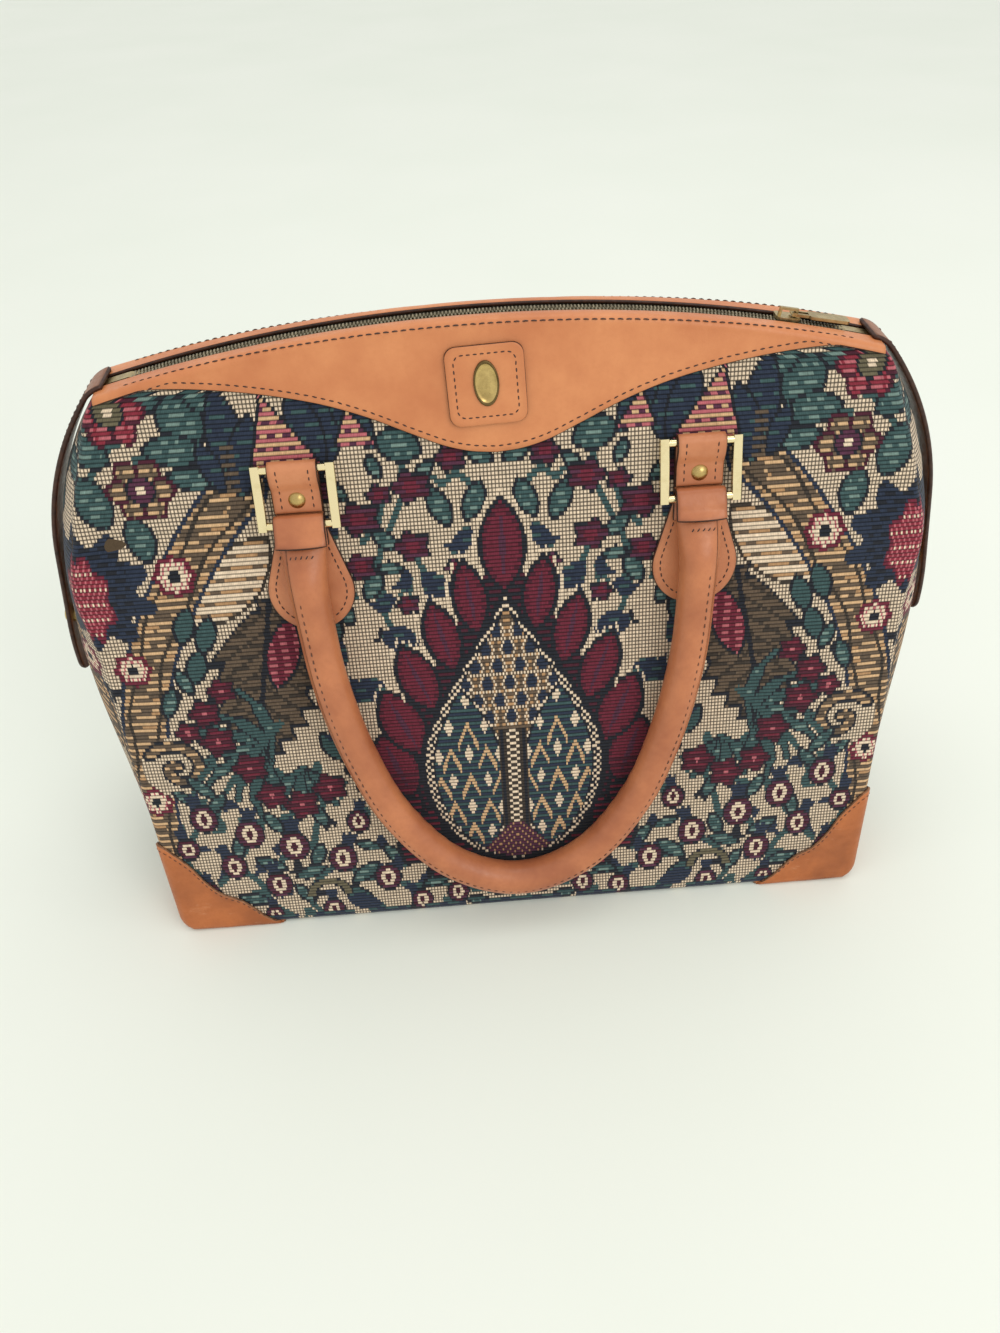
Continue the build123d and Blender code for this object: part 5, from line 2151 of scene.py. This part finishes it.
    def loop(self, end: End, finishes: Finishes) -> Piece:
        """The flat leather loop round a ring's lower bar.

        Args:
            end: which end of the handle.
            finishes: the bag's finishes.

        Returns:
            The piece.
        """
        middle = self.bore + self.strap / 2
        line = [(self.bar_height - 13, self.bar_out - middle - 0.1),
                (self.bar_height - 7, self.bar_out - middle)]
        for angle in np.linspace(-math.pi / 2, math.pi * 0.42, 14):
            line.append((self.bar_height + middle * math.cos(angle), self.bar_out + middle * math.sin(angle)))
        line += [(self.bar_height - 3.0, self.bar_out + middle + 1.6),
                 (self.bar_height - 6.5, self.bar_out + 5.8), (self.bar_height - 10.3, self.bar_out + 8.7)]
        path = resample(np.array(line), 40)
        t = np.linspace(-1, 1, 15)[None, :]
        drop = np.clip((np.arange(40) - 30) / 9, 0, 1)[:, None]
        n = path[:, 1:2] - drop * 1.9 * t**2
        grid = FORM.on_face(end.value * self.spread + self.loop_half * t, path[:, 0:1], n)
        grid = turn_round(grid, self.face)
        name = f"handle_loop_{self.face.word}_{end.word}"
        return make_slab(name, grid, self.strap - 0.15, finishes.handle, finishes.edge_dark, reach=2.2)


# ---------------------------------------------------------------- end tabs and the zip

@dataclass
class EndTab:
    """Darker leather tab over the bag's shoulder, snapped down on the gusset."""

    end: End
    half_wide: float = 10.0
    thick: float = 2.4
    tip_centre: Place = (176.2, 297.9)
    over_radius: float = 19.0
    start_angle: float = 75.7
    leave_angle: float = 40.0
    bend_radius: float = 179.2
    bend: float = 30.0
    straight: float = 83.0
    seam_in: float = 2.6
    tip_lean: float = 3.4

    @staticmethod
    def around(centre: Place, radius: float, angle: float) -> Place:
        """A point at a distance from another.

        Args:
            centre: the other point.
            radius: the distance.
            angle: the way to it, in degrees.

        Returns:
            The point.
        """
        return (centre[0] + radius * math.cos(math.radians(angle)),
                centre[1] + radius * math.sin(math.radians(angle)))

    def line(self) -> Array:
        """Draws the tab's middle line.

        Returns:
            Points in X and Z, from the zip down to the tip.
        """
        points = [self.around(self.tip_centre, self.over_radius, a)
                  for a in np.linspace(self.start_angle, self.leave_angle, 8)]
        centre = self.around(points[-1], -self.bend_radius, self.leave_angle)
        points += [self.around(centre, self.bend_radius, a)
                   for a in np.linspace(self.leave_angle, self.leave_angle - self.bend, 16)[1:]]
        points.append(self.around(points[-1], self.straight, self.leave_angle - self.bend - 90))
        line = resample(np.array(points), 90)
        below_stud = np.clip((np.linspace(0, 1, 90) - 0.8) / 0.2, 0, 1)
        line[:, 0] -= self.tip_lean * below_stud**2
        return line

    def build(self, finishes: Finishes) -> list[Piece]:
        """Makes the tab and its stitches.

        Args:
            finishes: the bag's finishes.

        Returns:
            The pieces.
        """
        line = self.line()
        left = path_length(line) * (1 - np.linspace(0, 1, len(line)))
        round_tip = np.sqrt(np.clip(1 - np.clip(1 - left / self.half_wide, 0, 1) ** 2, 0.004, 1))
        t = np.linspace(1, -1, 15)
        y = self.half_wide * round_tip[:, None] * t[None, :]
        x, y, z = np.broadcast_arrays(line[:, 0:1], y, line[:, 1:2])
        grid = np.stack([x, y, z], axis=-1) * self.end.sign
        if self.end is End.LEFT:
            grid = grid[:, ::-1]
        name = self.end.word
        tab = make_slab(f"end_tab_leather_{name}", grid, self.thick - 0.1, finishes.tab, finishes.edge_dark,
                        reach=3.5)
        seat(tab, f"end_tab_{name}")
        tangent = unit(np.gradient(line, axis=0))
        out = np.stack([-tangent[:, 1], np.zeros(len(line)), tangent[:, 0]], axis=1)
        rows = []
        for side in (-1, 1):
            inset = (self.half_wide - self.seam_in) * side
            path = np.stack([line[:, 0], np.full(len(line), inset), line[:, 1]], axis=1)
            path = path + out * self.thick / 2
            rows.append((path[4:-10] * self.end.sign, out[4:-10] * self.end.sign))
        sewn = make_stitches(f"end_tab_stitches_{name}", rows, finishes.thread_dark, 3.6, 2.6, 0.7)
        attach(sewn, "bag")
        return [tab, sewn]


@dataclass
class ZipCoil:
    """One side of the zip's coil: turns of filament sewn along the tape."""

    face: Face
    pitch: float = 1.7
    half_width: float = 3.0
    inner: float = 0.7
    wire: float = 0.95
    sides: int = 5
    under: float = 1.0
    reach: float = 168.0

    def build(self, finishes: Finishes) -> Piece:
        """Makes the turns.

        Args:
            finishes: the bag's finishes.

        Returns:
            The piece, riding on the bag.
        """
        radius = FORM.arch_radius - self.under
        centre_z = FORM.ridge - FORM.arch_radius
        limit = math.asin(self.reach / radius)
        count = int(2 * limit * radius / self.pitch)
        turn = [(-self.half_width + 0.3, 0.45), (-self.half_width + 0.5, 1.6), (-self.inner - 1.0, 1.72),
                (-self.inner + 0.15, 1.25), (-self.inner - 0.9, 0.7), (-self.half_width + 0.9, 0.5)]
        section = smooth_path(turn, 3)
        sides = self.sides
        angles = np.arange(sides) * 2 * math.pi / sides
        tangent = unit(np.gradient(section, axis=0))
        offset = 0.5 * self.pitch if self.face is Face.BACK else 0.0
        points, faces = [], []
        for k in range(count):
            at = -limit + (k + 0.5) * 2 * limit / count + offset / radius
            along = np.array([math.cos(at), 0, -math.sin(at)])
            up = np.array([math.sin(at), 0, math.cos(at)])
            faces += tube_faces(len(points), len(section), sides)
            for (y, h), (ty, th) in zip(section, tangent):
                centre = np.array([0, 0, centre_z]) + up * (radius + h) + np.array([0, 1.0, 0]) * y
                across = np.array([0, -th, 0]) + up * ty
                for angle in angles:
                    round_wire = along * math.cos(angle) + across * math.sin(angle)
                    points.append(centre + round_wire * self.wire / 2)
        if self.face is Face.FRONT:
            faces = [four[::-1] for four in faces]
        name = self.face.word
        made = make_mesh(f"zip_teeth_{name}", np.array(points) * self.face.sign, faces, [finishes.coil])
        seat(made, f"zip_coil_{name}")
        return made


class Fittings:
    """The hard pieces that stay as they were made, with their finishes."""

    def dress(self, nodes: dict[str, Piece], finishes: Finishes) -> None:
        """Gives each hard piece its finish.

        Args:
            nodes: the frame's pieces by name.
            finishes: the bag's finishes.
        """
        plan = {"ring_": finishes.bright, "chape_rivet_": finishes.antique, "stud_": finishes.antique,
                "zip_tape_": finishes.tape, "zip_slider": finishes.zip_metal, "zip_pull": finishes.zip_metal,
                "zip_stops": finishes.zip_metal, "lining": finishes.lining, "base_board": finishes.board}
        for name, node in nodes.items():
            for start, finish in plan.items():
                if name.startswith(start):
                    node.data.materials.clear()
                    node.data.materials.append(finish)
                    LOG.info("dressed %s", name)


# ---------------------------------------------------------------- the studio

@dataclass
class Studio:
    """Pale floor, soft light and the camera."""

    place: tuple[float, float, float] = (-0.02010, -0.45212, 0.51884)
    right: tuple[float, float, float] = (0.99684976, -0.07045808, -0.03641718)
    up: tuple[float, float, float] = (0.07396209, 0.66001811, 0.74759996)
    lens: float = 27.0
    floor_size: float = 12.0
    lights: tuple = (("window", (1.1, -1.5, 1.5), 1.3, 11.0, (1.0, 0.985, 0.96)),
                     ("top", (0.3, 0.3, 2.0), 1.2, 5.0, (1.0, 1.0, 0.99)))
    sky: float = 0.93

    def build(self, finishes: Finishes) -> None:
        """Makes the floor, the lights and the camera.

        Args:
            finishes: the bag's finishes.
        """
        half = self.floor_size / 2
        mesh = bpy.data.meshes.new("studio_floor")
        mesh.from_pydata([(-half, -half, 0), (half, -half, 0), (half, half, 0), (-half, half, 0)], [],
                         [(0, 1, 2, 3)])
        mesh.materials.append(finishes.floor)
        floor = bpy.data.objects.new("studio_floor", mesh)
        floor.location.z = -0.0002
        bpy.context.scene.collection.objects.link(floor)
        world = bpy.data.worlds.new("studio_sky")
        world.use_nodes = True
        sky = world.node_tree.nodes["Background"]
        sky.inputs[0].default_value = (0.98, 1.0, 0.965, 1)
        sky.inputs[1].default_value = self.sky
        bpy.context.scene.world = world
        for name, place, size, power, tint in self.lights:
            light = bpy.data.lights.new(name, "AREA")
            light.shape, light.size, light.energy, light.color = "DISK", size, power, tint
            lamp = bpy.data.objects.new(name, light)
            lamp.location = place
            lamp.rotation_euler = (Vector((0, 0, 0.15)) - Vector(place)).to_track_quat("-Z", "Y").to_euler()
            bpy.context.scene.collection.objects.link(lamp)
        camera = bpy.data.cameras.new("camera")
        camera.lens, camera.sensor_width, camera.sensor_fit = self.lens, 36.0, "AUTO"
        camera.clip_start = 0.01
        holder = bpy.data.objects.new("camera", camera)
        right, up = Vector(self.right), Vector(self.up)
        back = right.cross(up)
        holder.matrix_world = Matrix.Translation(self.place) @ Matrix((right, up, back)).transposed().to_4x4()
        bpy.context.scene.collection.objects.link(holder)
        bpy.context.scene.camera = holder
        bpy.context.scene.view_settings.view_transform = "Standard"


def main() -> None:
    """Builds the bag and the studio in order."""
    logging.basicConfig(level=logging.INFO, format="%(message)s")
    finishes = Finishes()
    Studio().build(finishes)
    made: list[Piece] = []
    for face in Face:
        made.append(TapestryPanel(face).build(finishes))
    for end in End:
        made.append(TapestryGusset(end).build(finishes))
    made.append(BasePanel().build(finishes))
    for face in Face:
        made += Yoke(face).build(finishes)
        for end in End:
            made += CornerPatch(face, end).build(finishes)
            made += Chape(face, end).build(finishes)
        made += Handle(face).build(finishes)
        made.append(ZipCoil(face).build(finishes))
    made += Badge().build(finishes)
    for end in End:
        made += EndTab(end).build(finishes)
    Fittings().dress(frame["nodes"], finishes)
    for piece in made:
        LOG.info("%s: %d faces", piece.name, len(piece.data.polygons))


if __name__ == "__main__":
    main()
